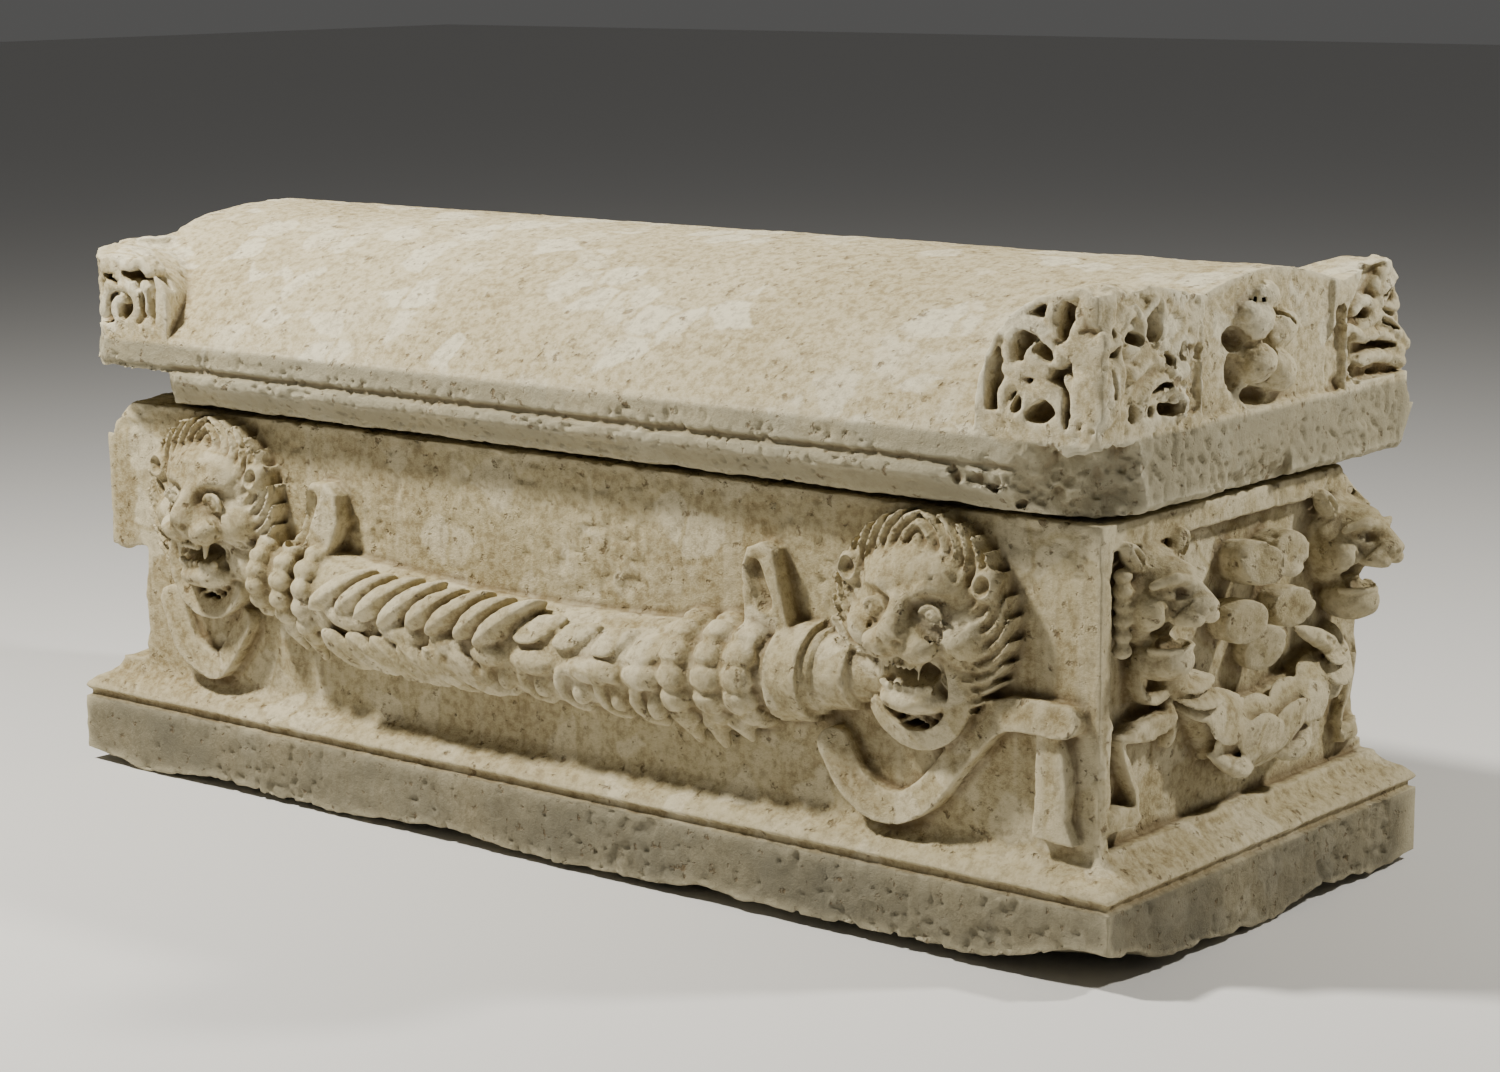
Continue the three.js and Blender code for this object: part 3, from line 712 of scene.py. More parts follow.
def chip(point, normal, low, high):
    """All that lies beyond a plane, within a box."""
    normal = np.array(normal, dtype=np.float64)
    normal /= np.linalg.norm(normal)
    room = box(low, high)

    def distance(x, y, z):
        beyond = sum(n * (c - p) for n, c, p in zip(normal, (x, y, z), point))
        return np.maximum(-beyond, room.distance(x, y, z))

    return Shape(low, high, distance)


def mane(u, v, tongues=15):
    """A disc of long curved locks, in clumps, that turn as they run outwards."""
    def distance(x, y, h):
        p, q = x - u, y - v
        out = np.sqrt(p ** 2 + q ** 2)
        turn = np.arctan2(np.abs(p), q)
        bend = turn + 0.55 * ((out - 80) / 70) ** 2
        clump = np.abs(((bend * tongues / math.pi) % 1) - 0.5) * 2
        hair = np.cos(bend * 2 * tongues * 4)
        edge = 150 - 13 * clump ** 1.5
        crown = 46 - 0.0011 * np.maximum(out - 60, 0) ** 2 - 11 * clump ** 2 + 2.6 * hair
        gap = out - edge
        over = h - crown
        outside = np.sqrt(np.maximum(gap, 0) ** 2 + np.maximum(over, 0) ** 2)
        return (outside + np.minimum(np.maximum(gap, over), 0)) * 0.8

    return Shape((u - 152, v - 152, -20), (u + 152, v + 152, 50), distance)


# ---- the animal heads ----


def lion(face, u, v, outer):
    """A lion's face looking straight out; outer is the side its lower ring opens away from."""
    def at(points):
        return [(u + p[0], v + p[1], p[2]) for p in points]

    def add_egg(du, dv, h, half, turn=0, blend=6):
        face.add(egg((u + du, v + dv, h), half, turn), blend)

    def cut_egg(du, dv, h, half, turn=0, blend=3):
        face.cut(egg((u + du, v + dv, h), half, turn), blend)

    face.add(mane(u, v - 6), 4)
    add_egg(0, 2, 16, (112, 84, 52), blend=10)
    add_egg(0, 50, 38, (86, 46, 38), blend=12)
    for side in (-1, 1):
        add_egg(side * 112, 52, 32, (22, 26, 24), side * -24, 4)
        cut_egg(side * 112, 54, 56, (12, 16, 18), side * -24)
        add_egg(side * 72, -24, 34, (42, 36, 36), side * 10, 10)
    add_egg(0, -22, 60, (44, 34, 40), blend=12)
    for side in (-1, 1):
        add_egg(side * 30, -36, 70, (32, 24, 32), side * 12, 6)
    face.add(strand(at([(0, 46, 58), (0, 14, 78), (0, -12, 96)]), [16, 17, 19]), 8)
    add_egg(0, -20, 94, (25, 15, 15), blend=6)
    for side in (-1, 1):
        cut_egg(side * 12, -28, 104, (6, 6, 8), blend=2)
        face.add(strand(at([(side * 15, 34, 70), (side * 38, 46, 70), (side * 66, 42, 56)]),
                        [10, 10, 8]), 4)
        face.add(strand(at([(side * 8, 28, 76), (side * 11, 70, 62)]), 7), 4)
        cut_egg(side * 46, 12, 86, (25, 16, 26), side * -8, 3)
        add_egg(side * 46, 10, 62, (15, 11, 13), blend=1)
        face.add(strand(at(arc(side * 46, 9, 70, 18, 15, 165, 7, 0.8)), 4.6), 1)
        face.add(strand(at(arc(side * 46, 11, 67, 18, 200, 340, 7, 0.8)), 4.2), 1)
        cut_egg(side * 45, 10, 78, (4.5, 4.5, 8), blend=1)
        for n in range(4):
            face.cut(strand(at([(side * (34 + 9 * n), 2 - 3 * n, 78 - 6 * n),
                                (side * (52 + 10 * n), -22 - 8 * n, 78 - 9 * n),
                                (side * (56 + 11 * n), -44 - 6 * n, 72 - 10 * n)]), 2.6), 3)
    face.add(egg((u, v - 114, 34), (58, 24, 46)), 6)
    face.cut(egg((u, v - 76, 62), (46, 19, 48)), 5)
    face.cut(egg((u, v - 76, 96), (40, 16, 40)), 5)
    for side in (-1, 1):
        face.add(strand(at([(side * 31, -58, 72), (side * 30, -80, 74)]), [7, 3.5]), 1)
    for n in range(-2, 3):
        face.add(egg((u + 9.6 * n, v - 62, 78), (4.6, 7, 8)), 1)
        face.add(egg((u + 11.5 * n, v - 93, 66), (5.4, 7, 8)), 1)
    face.add(strand(at(arc(0, -72, 62, 46, 215, 325, 9, 0.75)), 8), 4)
    angles = (25, -150) if outer > 0 else (155, 330)
    face.add(ribbon(arc(u, v - 98, 0, 74, *angles, 18), 32, 50, 12), 3)


def cat(face, u, v):
    """A smaller head that juts from an end: u and v are its middle."""
    def at(points):
        return [(u + p[0], v + p[1], p[2]) for p in points]

    face.add(rough(egg((u, v + 8, 8), (68, 72, 58)), 30, 2), 8)
    face.add(egg((u, v + 28, 50), (44, 34, 42)), 10)
    face.add(egg((u, v + 2, 82), (30, 26, 38)), 8)
    face.add(strand(at([(0, 40, 70), (0, 22, 96), (0, 6, 110)]), [13, 12, 12]), 6)
    face.add(egg((u, v + 4, 110), (19, 11, 13)), 4)
    for side in (-1, 1):
        face.add(egg((u + side * 18, v - 12, 88), (19, 16, 27), side * 8), 4)
        face.add(egg((u + side * 44, v - 4, 40), (24, 30, 34)), 8)
        face.add(egg((u + side * 54, v + 66, 26), (14, 30, 20), side * -38), 3)
        face.cut(egg((u + side * 55, v + 67, 46), (4, 24, 14), side * -38), 2)
        face.add(strand(at([(side * 10, 36, 88), (side * 30, 42, 80), (side * 52, 32, 58)]),
                        [8, 9, 7]), 4)
        face.cut(egg((u + side * 31, v + 20, 86), (15, 9, 14), side * -12), 4)
        face.add(egg((u + side * 30, v + 19, 68), (11, 8, 11)), 1)
        face.cut(egg((u + side * 8, v + 2, 124), (4, 4, 8)), 1)
        for n in range(3):
            face.cut(strand(at([(side * (20 + 4 * n), 12 - 7 * n, 98 - 6 * n),
                                (side * (36 + 3 * n), 6 - 10 * n, 82 - 8 * n),
                                (side * (46 + 2 * n), -6 - 10 * n, 62 - 8 * n)]), 2.4), 2)
    face.cut(egg((u, v - 38, 84), (44, 17, 56)), 4)
    face.add(egg((u, v - 76, 38), (40, 32, 50)), 5)
    face.cut(egg((u, v - 54, 62), (30, 12, 26)), 3)
    lip = [(38 * math.cos(a), -58, 44 + 36 * math.sin(a)) for a in np.linspace(0, math.pi, 11)]
    face.add(strand(at(lip), 5.5), 2)


# ---- the garlands ----


def garland_height(u):
    return GARLAND_LOW + GARLAND_RISE * (u / GARLAND_REACH) ** 2


def garland_radius(u):
    out = np.abs(u)
    body = np.where(out < 440, GARLAND_ROUND, 62)
    return np.where(out > 596, 46, np.where(out > 540, 56, body)).astype(np.float32)


def garland_ring(face, u, radius, count, size, form="pod", droop=0.0):
    """One ring of buds round the garland, seen from the front."""
    middle = float(garland_height(u))
    angles = np.radians(np.linspace(84, -84, 40))
    path = [(u, middle + radius * math.sin(a), radius * math.cos(a)) for a in angles]
    set_along(face, form, path, count, size, tilt=90 + droop, seed=int(abs(u)),
              centre=(u, middle, 0), blend=2)


def front_garland(face):
    face.add(roll(-655, 655, garland_height, garland_radius), 3)
    for u, radius in ((-510, 68), (-457, 72), (-577, 56)):
        garland_ring(face, u, radius, 8, (46, 40, 20), "bud")
    for u, radius in ((304, 72), (364, 70), (419, 66)):
        garland_ring(face, u, radius, 7, (56, 44, 22))
    face.add(roll(462, 524, garland_height, lambda u: np.full_like(u, 72.0)), 2)
    centre = (0, GARLAND_LOW, 0)
    upper = [(u, 366 + 0.02 * abs(u), 62) for u in (-372, -20)]
    set_along(face, "leaf", upper, 8, (132, 34, 34), tilt=40, seed=3, centre=centre, blend=1)
    upper = [(u, 368, 62) for u in (40, 260)]
    set_along(face, "leaf", upper, 4, (96, 46, 9), tilt=30, seed=5, centre=centre)
    lower = [(u, 280, 60) for u in (-366, -90)]
    set_along(face, "lock", lower, 6, (112, 50, 22), tilt=-42, seed=9, centre=centre, blend=1)
    for u in (-40, 34, 108, 186, 256):
        curl = arc(u, 288, 0, 26, 70, 290, 9, 1.2)
        curl[:, 2] = np.sqrt(GARLAND_ROUND ** 2 - (curl[:, 1] - GARLAND_LOW) ** 2)
        face.add(strand(curl, 10), 2)
        face.add(egg((u + 10, 286, 56), (18, 24, 18)), 2)
    for u, length in ((-360, 104), (-240, 104), (-140, 86), (-56, 80), (36, 100), (148, 120),
                      (246, 80)):
        middle = float(garland_height(u)) - 4
        turn = math.degrees(math.atan(POD_LEAN * u))
        face.add(egg((u, middle, 66), (length / 2, 22, 24), turn), 1)
        for side in (-1, 1):
            face.cut(strand([(u - 0.42 * length, middle + side * 2, 86),
                             (u, middle + side * 6, 92),
                             (u + 0.42 * length, middle + side * 2, 86)], 3), 1)
    for u, length in ((-512, 34), (-470, 40), (-420, 28), (304, 34), (352, 40), (400, 30)):
        middle = float(garland_height(u))
        face.add(strand([(u, middle - 66, 34), (u + 4, middle - 66 - length, 14)], [20, 8]), 4)


def front_ribbons(face):
    loop = smooth_path([(556, 268), (590, 215), (650, 190), (712, 218), (775, 290), (838, 348),
                        (938, 352)], 30)
    face.add(ribbon(loop, 46, 36, 14), 2)
    face.add(plate([(885, 188), (890, 330), (925, 338), (938, 300), (942, 250), (940, 218),
                    (954, 184)], -20, 24), 2)
    loop = smooth_path([(-822, 300), (-786, 226), (-724, 198), (-688, 224), (-648, 282)], 24)
    face.add(ribbon(loop, 44, 32, 12), 2)


def front_lugs(face):
    face.add(plate([(-530, 405), (-508, 455), (-488, 512), (-474, 528), (-440, 530),
                    (-418, 512), (-412, 470), (-440, 405)], -20, 34, 6), 3)
    face.cut(strand([(-508, 430, 34), (-474, 500, 34)], 15), 3)
    face.add(plate([(402, 405), (396, 500), (406, 528), (434, 538), (454, 528), (462, 500),
                    (488, 405)], -20, 34, 6), 3)
    face.cut(strand([(420, 498, 34), (440, 452, 34)], 14), 3)


END_SWAG = [
    (-205, 402, 20), (-150, 352, 27), (-92, 300, 44), (-12, 268, 50), (50, 268, 48),
    (135, 287, 44), (200, 318, 40), (255, 352, 28),
]


def end_swag_height(u):
    return np.interp(u, [row[0] for row in END_SWAG], [row[1] for row in END_SWAG])


def end_swag_radius(u):
    return np.interp(u, [row[0] for row in END_SWAG], [row[2] for row in END_SWAG])


def end_rosette(face, u, v, radius):
    """Five stout petals round a knob, their tops broken off flat, each at its own slope."""
    breaks = ((-0.35, 0.1, 60), (-0.6, 0.15, 66), (-0.5, -0.1, 56), (-0.45, -0.3, 44),
              (-0.4, -0.1, 50))
    for n, (lean_u, lean_v, height) in enumerate(breaks):
        angle = math.radians(54 + 72 * n)
        cu, cv = u + radius * math.cos(angle), v + radius * math.sin(angle)
        petal = egg((cu, cv, 34), (35, 32, 74), math.degrees(angle))
        top = chip((cu, cv, height), (lean_u, lean_v, 1), (cu - 80, cv - 80, 20),
                   (cu + 80, cv + 80, 140))

        def distance(x, y, h, petal=petal, top=top):
            return np.maximum(petal.distance(x, y, h), -top.distance(x, y, h))

        whole = Shape(petal.low, (petal.high[0], petal.high[1], height + 30), distance)
        face.add(rough(whole, 22, 1.2), 1)
    face.cut(egg((u + 56, v + 46, 84), (10, 34, 20), -40), 5)
    face.add(rough(egg((u, v, 44), (21, 20, 32)), 15, 1), 1)


def corner_tail(face, side, drop):
    """The ribbon's tail in the corner: two strips round a drop-shaped hollow, on a foot."""
    def at(points):
        return [(side * p[0], p[1]) for p in points]

    face.add(ribbon(smooth_path([(*p, 0) for p in at([(346, 345), (352, 280), (350, 205)])], 9),
                    22, 26 - drop, 4), 2)
    face.add(ribbon(smooth_path([(*p, 0) for p in at([(318, 318), (300, 276), (280, 238),
                                                      (284, 208)])], 11),
                    20, 30 - drop, 8), 2)
    face.add(rough(plate(at([(352, 198), (350, 226), (320, 232), (286, 226), (274, 208),
                             (282, 196)]), -10, 30 - drop, 6), 20, 2), 3)


def right_end(face):
    for side in (-1, 1):
        cat(face, side * 252, 498)
        corner_tail(face, side, 0 if side < 0 else 6)
    end_rosette(face, 15, 460, 70)
    face.add(roll(-205, 255, end_swag_height, end_swag_radius, 1.15), 3)
    places = np.linspace(-150, 225, 40)
    rows = ((0.62, 20, (104, 62, 9), 6, 21), (0.05, 10, (116, 66, 9), 6, 22),
            (-0.62, -6, (110, 54, 10), 5, 23))
    for share, tilt, size, count, seed in rows:
        turn = share * 1.2
        path = [(u, float(end_swag_height(u) + end_swag_radius(u) * math.sin(turn)),
                 float(end_swag_radius(u) * math.cos(turn)) * 1.08) for u in places]
        set_along(face, "leaf", path, count, size, tilt=tilt, seed=seed,
                  centre=(0, 285, -20), blend=1.5)
    for line in ([(-118, 262, 34), (-66, 236, 46), (-10, 222, 36)],
                 [(60, 226, 40), (98, 232, 48), (142, 262, 38)],
                 [(118, 398, 30), (180, 372, 36), (250, 336, 30)]):
        path = smooth_path(line, 9)
        sizes = 16 * np.sin(np.linspace(0.25, math.pi - 0.25, 9)) ** 0.7
        face.add(strand(path, sizes), 2)
        face.cut(strand(path + [0, 2, 15], 2.6), 1)
    face.add(ribbon(arc(-235, 404, 0, 45, 165, 325, 14), 15, 30, 4), 2)
    face.add(rough(egg((-190, 380, 16), (22, 30, 24), 20), 15, 3), 4)
    face.add(rough(plate([(-332, 320), (-292, 336), (-240, 343), (-196, 338), (-190, 328),
                          (-206, 314), (-250, 306), (-300, 312)], -10, 34, 7), 30, 2), 3)
    face.add(rough(egg((-196, 322, 10), (14, 40, 20), 10), 15, 2), 3)
    path = [(-321, 542 - 20 * n, 22) for n in range(6)]
    set_along(face, "bud", path, 6, (24, 27, 16), seed=31, blend=1)


def left_end(face):
    face.add(plate([(340, 365), (370, 365), (370, 560), (340, 520)], -30, 17), 2)
    for side in (-1, 1):
        face.add(egg((side * 240, 475, 0), (82, 88, 40)), 6)
    face.add(egg((0, 455, 0), (84, 84, 30)), 6)
    face.add(roll(-220, 220, lambda u: 270 + 118 * (u / 200) ** 2,
                  lambda u: 54 - 20 * np.abs(u / 200), 0.8), 4)


def chest_losses(block):
    def cut(point, normal, low, high, size=60, depth=7, shift=0.0):
        block.cut(rough(chip(point, normal, low, high), size, depth, shift), 4)

    cut((-912, -370, 270), (-0.9, -0.45, 0), (-1045, -480, 181), (-850, -220, 365))
    cut((-950, -370, 595), (-0.6, -0.3, 0.75), (-1060, -480, 500), (-860, -200, 640), 50, 8, 2)
    cut((955, 350, 400), (0.7, 0.7, 0), (860, 240, 190), (1040, 440, 650), 80, 8, 4)
    cut((920, 340, 598), (0.6, 0.5, 0.6), (800, 200, 470), (1040, 440, 650), 60, 8, 6)


def carved_chest():
    block = chest_block()
    front = Face(block, (0, 1), (1, -1), WALL_Y)
    right = Face(block, (1, 1), (0, 1), WALL_X - PANEL_SINK)
    left = Face(block, (1, -1), (0, -1), WALL_X)
    block.cut(rough(box((WALL_X - PANEL_SINK, -WALL_Y + 28, WALL_FOOT),
                        (WALL_X + 90, WALL_Y + 90, 576)), 50, 1.5), 3)
    lion(front, -707, 470, -1)
    lion(front, 708, 470, 1)
    front_garland(front)
    front_ribbons(front)
    front_lugs(front)
    right_end(right)
    left_end(left)
    inner_x, inner_y = WALL_X - WALL_THICK, WALL_Y - WALL_THICK
    block.cut(rough(box((-inner_x, -inner_y, CAVITY_FLOOR), (inner_x, inner_y, RIM + 50), 8),
                    90, 1.5), 0)
    chest_losses(block)
    block.cut(box((-1300, -700, RIM), (1300, 700, RIM + 90)))
    return block


# ---- the lid's carving ----


def horn_outline(start, end, low, high, flat, bow=0.85, count=12):
    """An outline from (start, low) up to high and round in a quarter turn down to end."""
    places = np.linspace(0, 1, count)
    curve = [(start + (end - start) * (2 * bow * s * (1 - s) + s * s),
              high * (1 - s) ** 2 + (high - 8) * 2 * s * (1 - s) + flat * s * s)
             for s in places]
    return [(start, low), *curve, (end, low)]


def horn(block, side_x, side_y, corner_x, width, depth, top, wear=0, drop=34, bow=1.0,
         slant=0.0):
    """A corner horn: a quarter-round outline from the front met by one from the end.

    Its top is worn by so much over the front and drops by so much at the back, and slant
    draws its inner side in towards the end of the lid as it runs back.
    """
    start = corner_x * side_x
    front = plate(horn_outline(start, start - width, 690, top, 744, bow), -depth, 0, 2)
    end = plate([(LID_Y - depth, 690), (LID_Y - depth, top - drop),
                 (LID_Y - depth * 0.5, top - drop * 0.25), (LID_Y, top - wear), (LID_Y, 690)],
                -width, 0, 2)

    def distance(x, y, z):
        across, along = side_x * x, side_y * y
        drawn = np.minimum(across - slant * (LID_Y - along), start - 30)
        near = np.where(across > start - 30, across, np.maximum(drawn, start - 2 * width))
        from_front = front.distance(near, z, along - LID_Y)
        return np.maximum(from_front, end.distance(along, z, across - start))

    low_x, high_x = sorted((corner_x, corner_x - side_x * width))
    low_y, high_y = sorted((side_y * LID_Y, side_y * (LID_Y - depth)))
    block.add(rough(Shape((low_x, low_y, 690), (high_x, high_y, top), distance), 40, 1.5), 3)


def drilled(face, places, depth=26):
    """Drill holes and channels: each is its middle, its half-sizes and its turn."""
    for u, v, a, b, turn in places:
        face.cut(rough(egg((u, v, 2 - depth / 2), (a, b, depth / 2 + 12), turn), 12, 1.2), 2)


def curls(face, rows, blend=2):
    """Rounded stems of acanthus, each along a smooth path with its half-thickness."""
    for thick, *points in rows:
        path = smooth_path(points, 4 * len(points))
        face.add(rough(strand(path, thick, 40), 15, 0.8), blend)


def front_right_horn(front, right):
    """Acanthus scrolls on both outer faces of the horn at the front-right corner."""
    sunk = [(990, 762), (992, 912), (960, 916), (936, 908), (905, 896), (878, 880), (852, 852),
            (836, 824), (830, 796), (832, 762)]
    front.cut(rough(plate(sunk, -34, 60), 30, 1.5), 3)
    curls(front, [
        (15, (868, 812, -14), (862, 850, -14), (888, 876, -12), (918, 868, -12),
         (928, 842, -14), (904, 830, -12), (898, 842, -14)),
        (12, (862, 817, -10), (922, 818, -8)),
        (12, (858, 762, -12), (856, 786, -12), (874, 802, -10), (890, 792, -12)),
        (15, (872, 756, -12), (892, 780, -10), (922, 794, -8), (946, 776, -10),
         (950, 756, -12)),
        (16, (940, 836, -10), (972, 846, -6), (994, 826, -6), (1000, 790, -8), (998, 764, -8)),
        (9, (956, 810, -10), (964, 790, -10), (966, 764, -12)),
        (9, (974, 816, -8), (982, 792, -8), (984, 764, -10)),
        (12, (940, 866, -12), (928, 888, -10), (944, 912, -10), (962, 914, -12)),
        (18, (1000, 860, -10), (984, 884, -8), (990, 912, -10)),
    ])
    front.add(rough(egg((972, 872, -22), (34, 26, 22)), 20, 3), 4)
    drilled(front, [
        (885, 850, 12, 18, -10), (922, 842, 17, 11, -25), (952, 884, 8, 25, -8),
        (990, 873, 20, 5, 10), (880, 772, 8, 14, -30), (916, 763, 24, 12, 15),
        (956, 770, 4, 26, 0), (976, 770, 3, 26, 0),
    ], 30)
    right.cut(rough(plate([(-212, 744), (-180, 744), (-176, 830), (-212, 838)], -9, 40), 14, 3), 3)
    curls(right, [
        (14, (-412, 760, -6), (-418, 840, -4), (-400, 906, -6)),
        (12, (-388, 760, -4), (-380, 820, -4), (-392, 860, -4), (-372, 896, -4)),
        (11, (-372, 880, -2), (-352, 896, -2), (-330, 878, -2), (-336, 850, -2),
         (-362, 846, -2)),
        (11, (-322, 890, -2), (-290, 902, -2), (-276, 872, -2), (-290, 846, -2)),
        (12, (-350, 812, -2), (-300, 826, -2), (-240, 800, -2), (-222, 806, -2)),
        (12, (-330, 762, -2), (-316, 788, -2), (-280, 796, -2), (-236, 770, -2),
         (-228, 750, -2)),
    ])
    drilled(right, [
        (-300, 872, 13, 24, 15), (-345, 856, 20, 9, -8), (-262, 820, 21, 9, -8),
        (-222, 828, 10, 13, 15), (-278, 788, 26, 5, 4), (-258, 756, 30, 8, -10),
        (-236, 758, 10, 6, 0), (-300, 757, 9, 8, 0), (-345, 760, 7, 13, 0),
        (-326, 762, 6, 10, 0), (-396, 848, 6, 10, 0), (-404, 870, 5, 8, 0), (-400, 800, 5, 30, 0),
    ], 26)


def back_right_horn(right):
    right.cut(rough(plate([(166, 730), (166, 790), (186, 850), (206, 850), (206, 730)], -14, 40),
                    14, 4), 3)
    right.cut(rough(plate([(214, 738), (214, 840), (260, 900), (330, 900), (400, 850),
                           (400, 738)], -16, 40), 25, 2), 3)
    curls(right, [
        (13, (222, 812, -10), (262, 800, -8), (318, 796, -8), (372, 768, -10)),
        (13, (262, 812, -10), (300, 826, -8), (350, 800, -8), (390, 778, -10)),
        (11, (240, 838, -10), (262, 850, -8), (284, 838, -8), (276, 816, -10)),
        (12, (236, 744, -10), (262, 766, -8), (320, 766, -8), (376, 752, -10)),
        (14, (296, 836, -10), (320, 862, -8), (352, 886, -10)),
        (12, (300, 868, -10), (316, 886, -8), (344, 896, -10)),
        (12, (330, 826, -10), (352, 836, -8), (370, 860, -10)),
    ])
    drilled(right, [
        (232, 788, 10, 22, 20), (244, 748, 16, 14, 20), (312, 784, 44, 4, -8),
        (330, 812, 36, 5, -22), (318, 856, 16, 5, 30), (270, 832, 7, 7, 0),
        (310, 744, 18, 4, 0), (324, 830, 20, 5, -20),
    ], 24)


def front_left_horn(front):
    sunk = [(-960, 752), (-960, 800), (-944, 850), (-800, 846), (-790, 812), (-796, 752)]
    front.cut(rough(plate(sunk, -34, 60), 30, 1.5), 3)
    curls(front, [
        (14, (-926, 770, -10), (-918, 802, -8), (-884, 818, -8), (-850, 806, -8),
         (-838, 778, -10), (-856, 756, -12), (-884, 756, -12), (-896, 776, -12),
         (-878, 792, -12)),
        (15, (-936, 830, -10), (-900, 846, -8), (-866, 838, -10)),
        (10, (-850, 846, -8), (-832, 852, -8), (-816, 838, -8)),
        (9, (-834, 744, -10), (-816, 760, -8), (-806, 744, -10)),
        (10, (-824, 816, -8), (-812, 800, -8), (-816, 776, -10)),
    ])
    drilled(front, [
        (-876, 770, 9, 14, 20), (-862, 832, 14, 7, -20), (-838, 822, 8, 11, 0),
        (-826, 786, 6, 22, 5), (-806, 790, 6, 24, 5), (-900, 822, 24, 4, -18),
    ], 26)


def pediment_rosette(right):
    for u, v, a, b, h, turn in ((-44, 850, 34, 27, 30, 30), (-40, 795, 30, 30, 34, 0),
                                (16, 780, 40, 30, 30, -35), (30, 832, 40, 26, 18, 20),
                                (-22, 884, 30, 20, 22, 10), (-66, 866, 20, 14, 26, 30)):
        right.add(rough(egg((u, v, -4), (a, b, h), turn), 25, 1.6), 2)
    drilled(right, [
        (-84, 830, 24, 17, -10), (-84, 786, 20, 26, 15), (-32, 748, 34, 12, -5),
        (-12, 814, 13, 22, 20), (-30, 882, 20, 12, 0), (38, 846, 24, 5, -35),
        (36, 790, 26, 4, -60), (-8, 842, 4, 16, 10),
    ], 26)


def lid_losses(block):
    def cut(point, normal, low, high, size=60, depth=6, shift=0.0, blend=5):
        block.cut(rough(chip(point, normal, low, high), size, depth, shift), blend)

    cut((-930, -428, 760), (-0.63, -0.77, 0.05), (-1030, -480, 676), (-900, -340, 900), 45, 6)
    cut((-750, -428, 640), (-0.62, -0.76, -0.2), (-1030, -480, 600), (-700, -150, 680), 50, 6, 2)
    cut((868, -428, 650), (0.66, -0.70, -0.25), (800, -500, 600), (1060, -250, 722), 44, 15, 4, 4)
    cut((930, -428, 700), (0.3, -0.75, -0.6), (800, -500, 640), (1060, -300, 748), 30, 12, 5, 3)
    cut((850, -424, 690), (0.0, -0.9, -0.4), (778, -500, 660), (900, -380, 722), 24, 11, 6, 3)
    cut((1005, -20, 668), (0.95, 0, -0.3), (960, -100, 600), (1060, 60, 724), 30, 6, 7)
    cut((980, 410, 650), (0.55, 0.6, -0.45), (800, 300, 560), (1060, 480, 690), 45, 5, 8)
    cut((990, 404, 735), (0.5, 0.85, 0.1), (800, 330, 690), (1060, 480, 790), 30, 6, 9)
    cut((980, 372, 850), (0.45, 0.75, 0.4), (800, 280, 790), (1060, 480, 960), 40, 7, 10)
    cut((-985, 300, 640), (-0.9, 0.2, -0.3), (-1060, 180, 560), (-900, 430, 720), 60, 8, 11)
    cut((-995, -60, 900), (-0.75, 0, 0.65), (-1060, -330, 760), (-930, 300, 960), 90, 6, 12)
    cut((1000, -330, 922), (0.3, 0, 0.9), (700, -460, 880), (1060, -150, 960), 30, 5, 13)


def carved_lid():
    block = lid_block()
    front = Face(block, (0, 1), (1, -1), LID_Y)
    right = Face(block, (1, 1), (0, 1), LID_RIGHT)
    horn(block, 1, -1, LID_RIGHT, 194, 253, 932)
    horn(block, 1, 1, LID_RIGHT, 194, 253, 916, 26)
    horn(block, -1, -1, LID_LEFT, 228, 253, 876, 20, 0, 1.2, 0.5)
    horn(block, -1, 1, LID_LEFT, 214, 253, 872, 30, 20, 1.1, 0.4)
    right.cut(rough(plate([(-172, 733), (-172, 960), (170, 960), (170, 733)], -8, 40), 60, 1.5), 3)
    pediment_rosette(right)
    front_right_horn(front, right)
    back_right_horn(right)
    front_left_horn(front)
    lid_losses(block)
    block.cut(box((-1300, -700, 0), (1300, 700, LID_BOTTOM)))
    return block


# ---- the finish ----


def weathered(x, y, z):
    """How far the worn surface stands in or out at each place, in millimetres."""
    worn = 1.4 * grain(x, y, z, 70, 1.3) + 0.8 * grain(x, y, z, 24, 4.4)
    return worn + 0.7 * grain(x, y, z, 11, 8.1) - 1.3


def pitted(x, y, z, size, share, depth):
    """Pits over a share of the surface, in drifts."""
    spots = grain(x, y, z, size, 6.2) + 0.45 * grain(x, y, z, size * 3, 2.2)
    spots = spots + 0.35 * grain(x, y, z, 140, 3.7)
    return -depth * np.clip((spots - 1 + share) * 3, 0, 1)


def chest_surface(x, y, z):
    """The chest's wear: rough below the moulding, pitted on the walls, plain where hidden."""
    hidden = (abs(x) < WALL_X - 40) & (abs(y) < WALL_Y - 40)
    hidden = hidden | (z < 2) | (y > WALL_Y - 30)
    block = np.clip((ARRIS - 3 - z) / 6, 0, 1)
    wall = np.clip((z - WALL_FOOT) / 20, 0, 1) * np.clip((y + WALL_Y + 6) / 12, 0, 1)
    wall = np.where(y < -WALL_Y + 10, np.clip((z - 390) / 40, 0.35, 1), wall)
    pits = pitted(x, y, z, 10, 0.55, 4.0) * (0.25 + 0.75 * block)
    pits = pits + pitted(x, y, z, 14, 0.5, 3.0) * np.maximum(wall, 0)
    tooled = block * (1.6 * grain(x, y, z, 13, 9.3) + 2.2 * grain(x, y, z, 40, 5.9))
    return np.where(hidden, -0.5, weathered(x, y, z) + pits + tooled)


